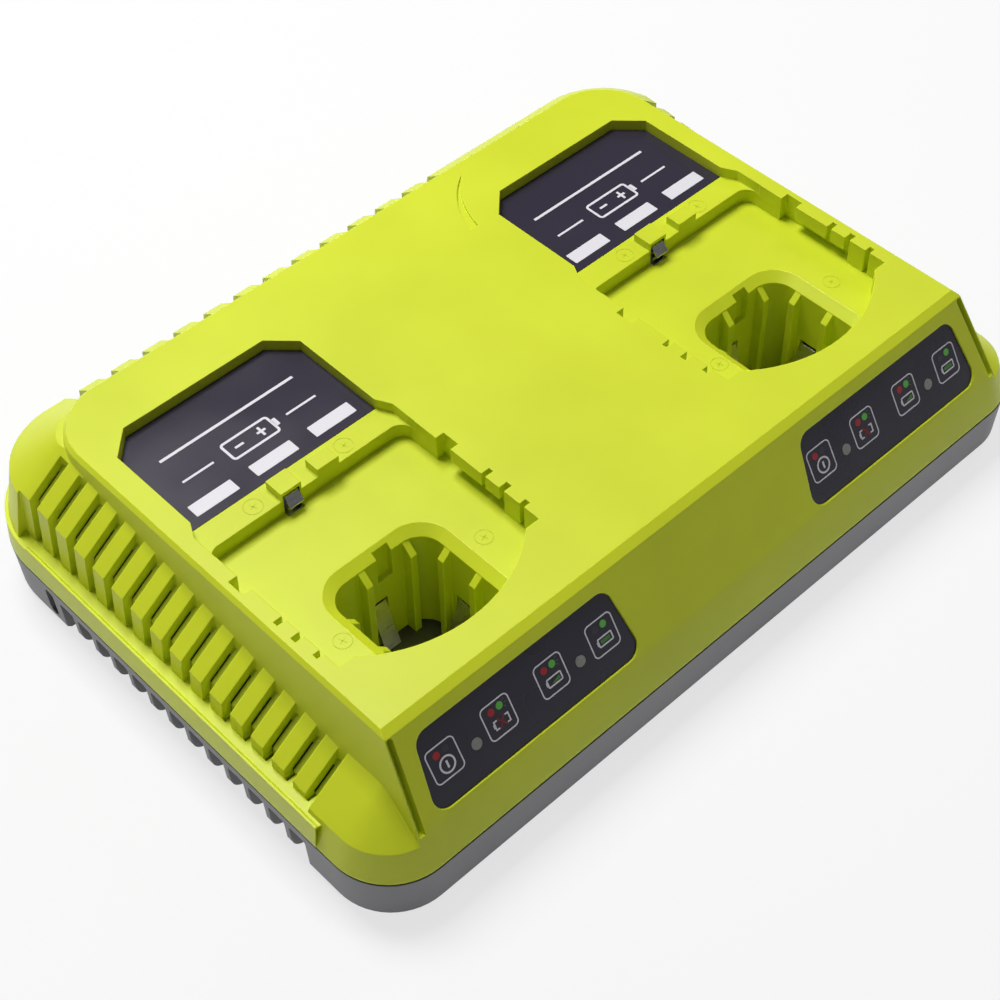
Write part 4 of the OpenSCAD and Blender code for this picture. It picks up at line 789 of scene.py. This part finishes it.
def mould_marks(side):
    """Raised hair lines: a circle with a small cross inside, at each ejector pin's place."""
    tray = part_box(f"battery_tray_{side}")[1].z
    shelf = LABEL_BOX[side][1].z
    for name, level, pins in (("tray", tray, TRAY_PINS), ("shelf", shelf, SHELF_PINS)):
        sheet = Sheet((BAY_X[side], 0, level))
        for x, y, radius in pins:
            ring = band(circle_loop(radius, 48), HAIR_LINE, -PRINT_FOOT, HAIR_HEIGHT)
            sheet.add(ring, "lime", (x, y))
            for turn in map(math.radians, CROSS_TURNS):
                way = radius * CROSS_REACH * np.array((math.cos(turn), math.sin(turn)))
                hair = plate(bar_loop(-way, way, HAIR_LINE), -PRINT_FOOT, HAIR_HEIGHT)
                sheet.add(hair, "lime", (x, y))
        sheet.piece(f"{name}_mould_marks_{side}", "housing", "lime_plastic")


class CHARGER_OT_clip_linings(bpy.types.Operator):
    """Line the clip pockets with thin dark sheets"""
    bl_idname = "charger.clip_linings"
    bl_label = "Clip linings"

    def execute(self, context):
        for side in SIDES:
            clip_lining(side)
        return {"FINISHED"}


# Clip pocket in millimetres: its middle and front from the bay's middle, heights of its floor and
# rim, half width, depth, and the dark sheets' wall, floor and clearance at the front and back
CLIP_X, CLIP_Y, CLIP_LOW, CLIP_HIGH, CLIP_HALF_W, CLIP_DEPTH = -4.8, 5.05, 41.4, 48.9, 2.7, 5.0
# Wall and floor thickness of the dark sheets in the pocket, and their clearance
LINING_WALL, LINING_FLOOR, LINING_GAP = 0.12, 0.03, 0.15


def clip_lining(side):
    """Thin dark walls on the left, right and back of the pocket, and on its floor."""
    sheet = Sheet((BAY_X[side], 0, 0))
    back = CLIP_Y + CLIP_DEPTH
    left, right = CLIP_X - CLIP_HALF_W, CLIP_X + CLIP_HALF_W
    for way in (-1, 1):
        edge = CLIP_X + way * (CLIP_HALF_W - LINING_WALL / 2)
        wall = bar_loop((edge, CLIP_Y + LINING_GAP), (edge, back), LINING_WALL)
        sheet.add(plate(wall, CLIP_LOW, CLIP_HIGH), "black")
    y = back - LINING_WALL / 2
    sheet.add(plate(bar_loop((left, y), (right, y), LINING_WALL), CLIP_LOW, CLIP_HIGH), "black")
    y = CLIP_Y + CLIP_DEPTH / 2
    floor = bar_loop((left, y), (right, y), CLIP_DEPTH - 2 * LINING_GAP)
    sheet.add(plate(floor, CLIP_LOW, CLIP_LOW + LINING_FLOOR), "black")
    sheet.piece(f"clip_pocket_lining_{side}", "housing", "black_plastic")


# Finish of each carried-over node, by the first of these that its name starts with
NODE_FINISH = [
    ("label_plate", "label"), ("status_panel", "panel"), ("light_pipe", "window"),
    ("led_board", "board"), ("status_leds", "window"), ("retaining_clip", "steel"),
    ("plus_contact", "contact"), ("minus_contact", "contact"), ("sense_contact", "contact"),
    ("contact_blocks", "black"), ("main_board", "board"), ("transformer_core", "ferrite"),
    ("transformer_winding", "tape"), ("bulk_capacitor", "sleeve"), ("output_capacitors", "sleeve"),
    ("line_choke", "ferrite"), ("choke_winding", "wire"), ("fuse_clips", "brass"),
    ("fuse", "glass"), ("heat_sink", "aluminium"), ("power_transistors", "black"),
    ("board_connectors", "ivory"), ("mains_inlet", "black"), ("inlet_pins", "brass"),
    ("foot_", "rubber"), ("case_screws", "zinc"), ("board_screws", "zinc"),
]


class CHARGER_OT_small_parts(bpy.types.Operator):
    """Finish the clips, contacts, boards, feet and screws"""
    bl_idname = "charger.small_parts"
    bl_label = "Small parts"

    def execute(self, context):
        for node in NODES:
            if node not in HOUSINGS:
                dress(node, next(m for start, m in NODE_FINISH if node.startswith(start)))
        return {"FINISHED"}


class CHARGER_OT_stage(bpy.types.Operator):
    """Add the floor, the lamps and the camera"""
    bl_idname = "charger.stage"
    bl_label = "Stage"

    def execute(self, context):
        add_camera()
        add_floor()
        add_lamps()
        set_world()
        return {"FINISHED"}


# Camera: sensor's width in millimetres, sideways shift as a share of it, nearest sight in metres
SENSOR_W, SIDE_SHIFT, NEAREST = 36.0, -0.0019, 0.01


def add_camera():
    """Camera from a place, a heading, a downward angle and a roll."""
    s = stage_settings()
    az, el, roll = s.azimuth, s.elevation, s.roll
    ahead = Vector((-math.sin(az) * math.cos(el), math.cos(az) * math.cos(el), -math.sin(el)))
    side = Vector((math.cos(az), math.sin(az), 0))
    top = side.cross(ahead)
    right = side * math.cos(roll) + top * math.sin(roll)
    up = -side * math.sin(roll) + top * math.cos(roll)
    turn = Matrix((right, up, -ahead)).transposed().to_4x4()
    data = bpy.data.cameras.new("camera")
    data.lens = s.lens
    data.sensor_width = SENSOR_W
    data.shift_x = SIDE_SHIFT
    data.clip_start = NEAREST
    camera = bpy.data.objects.new("camera", data)
    camera.matrix_world = Matrix.Translation(Vector(s.camera_at)) @ turn
    bpy.context.scene.collection.objects.link(camera)
    bpy.context.scene.camera = camera


# Floor in metres: half its width, its height just below the feet, and the half width and half depth
# that the charger covers; how white it shows, where 1 is white
FLOOR_HALF, FLOOR_Z, COVERED, FLOOR_WHITE = 3.0, -0.00005, (("X", 0.11), ("Y", 0.075)), 0.72


def add_floor():
    """A large flat floor: a square of one face. The camera sees it pale, apart from where the
    charger covers it, and it keeps the shadow."""
    corners = [(x * FLOOR_HALF, y * FLOOR_HALF, FLOOR_Z)
               for x, y in ((-1, -1), (1, -1), (1, 1), (-1, 1))]
    mesh = bpy.data.meshes.new("floor")
    mesh.from_pydata(corners, [], [(0, 1, 2, 3)])
    floor = bpy.data.objects.new("floor", mesh)
    bpy.context.scene.collection.objects.link(floor)
    s = Shader("floor_paper")
    s.finish(Base_Color=tuple(colours().floor), Roughness=0.9)
    glow = s.add("ShaderNodeEmission")
    glow.inputs["Strength"].default_value = 1.0
    path = s.add("ShaderNodeLightPath")
    seen = s.math("ADD", s.math("MULTIPLY", path.outputs["Is Camera Ray"], FLOOR_WHITE),
                  path.outputs["Is Glossy Ray"])
    across = s.add("ShaderNodeSeparateXYZ")
    s.link(s.place, across.inputs[0])
    beyond = [s.math("GREATER_THAN", s.math("ABSOLUTE", across.outputs[axis]), reach)
              for axis, reach in COVERED]
    blend = s.add("ShaderNodeMixShader")
    s.link(s.math("MULTIPLY", seen, s.math("MAXIMUM", *beyond)), blend.inputs[0])
    s.link(s.surface.outputs[0], blend.inputs[1])
    s.link(glow.outputs[0], blend.inputs[2])
    s.link(blend.outputs[0], s.out.inputs["Surface"])
    mesh.materials.append(s.material)


def add_lamp(name, place, size, watts):
    """A square soft lamp that points at the charger's middle."""
    data = bpy.data.lights.new(name, "AREA")
    data.shape = "SQUARE"
    data.size = size
    data.energy = watts
    lamp = bpy.data.objects.new(name, data)
    aim = (Vector() - Vector(place)).to_track_quat("-Z", "Y").to_matrix().to_4x4()
    lamp.matrix_world = Matrix.Translation(Vector(place)) @ aim
    bpy.context.scene.collection.objects.link(lamp)


def add_lamps():
    """A lamp above and behind, a weak one at the right and a weak low one behind."""
    s = stage_settings()
    add_lamp("top_lamp", (0.0, 0.4, 1.02), 0.45, s.top_light)
    add_lamp("side_lamp", (1.15, 0.15, 0.95), 0.5, s.side_light)
    add_lamp("back_lamp", (-0.1, 1.3, 0.5), 0.5, s.back_light)


def set_world():
    """Pale surroundings: white to the camera, also through glass, and weak as light."""
    world = bpy.data.worlds.new("studio")
    world.use_nodes = True
    tree = world.node_tree
    back = tree.nodes["Background"]
    back.inputs["Color"].default_value = (1, 1, 1, 1)
    path = tree.nodes.new("ShaderNodeLightPath")
    seen = tree.nodes.new("ShaderNodeMath")
    seen.operation = "MAXIMUM"
    tree.links.new(path.outputs["Is Camera Ray"], seen.inputs[0])
    tree.links.new(path.outputs["Is Transmission Ray"], seen.inputs[1])
    strength = tree.nodes.new("ShaderNodeMapRange")
    strength.inputs["To Min"].default_value = stage_settings().world_light
    strength.inputs["To Max"].default_value = 1.0
    tree.links.new(seen.outputs[0], strength.inputs["Value"])
    tree.links.new(strength.outputs[0], back.inputs["Strength"])
    bpy.context.scene.world = world


class CHARGER_PT_panel(bpy.types.Panel):
    """Pieces and stage of the charger"""
    bl_idname = "CHARGER_PT_panel"
    bl_label = "Charger"
    bl_space_type = "VIEW_3D"
    bl_region_type = "UI"
    bl_category = "Charger"

    def draw(self, context):
        for name in ORDER:
            self.layout.operator(f"charger.{name}")
        for group in ("charger_colours", "charger_sizes", "charger_stage"):
            box = self.layout.box()
            settings = getattr(context.scene, group)
            for key in settings.__annotations__:
                box.prop(settings, key)


ORDER = ("housings", "shoulders", "panel_marks", "label_marks", "mould_marks", "clip_linings",
         "small_parts", "stage")
CLASSES = (
    ChargerColours, ChargerSizes, ChargerStage,
    CHARGER_OT_housings, CHARGER_OT_shoulders, CHARGER_OT_panel_marks, CHARGER_OT_label_marks,
    CHARGER_OT_mould_marks, CHARGER_OT_clip_linings, CHARGER_OT_small_parts, CHARGER_OT_stage,
    CHARGER_PT_panel,
)


def register():
    """Registers the classes and adds the settings to the scene."""
    for c in CLASSES:
        bpy.utils.register_class(c)
    bpy.types.Scene.charger_colours = bpy.props.PointerProperty(type=ChargerColours)
    bpy.types.Scene.charger_sizes = bpy.props.PointerProperty(type=ChargerSizes)
    bpy.types.Scene.charger_stage = bpy.props.PointerProperty(type=ChargerStage)


def unregister():
    """Takes the settings and the classes away again."""
    del bpy.types.Scene.charger_stage
    del bpy.types.Scene.charger_sizes
    del bpy.types.Scene.charger_colours
    for c in reversed(CLASSES):
        bpy.utils.unregister_class(c)


def main():
    register()
    bpy.context.scene.view_settings.view_transform = "Standard"
    make_materials()
    for name in ORDER:
        getattr(bpy.ops.charger, name)()


if __name__ == "__main__":
    main()
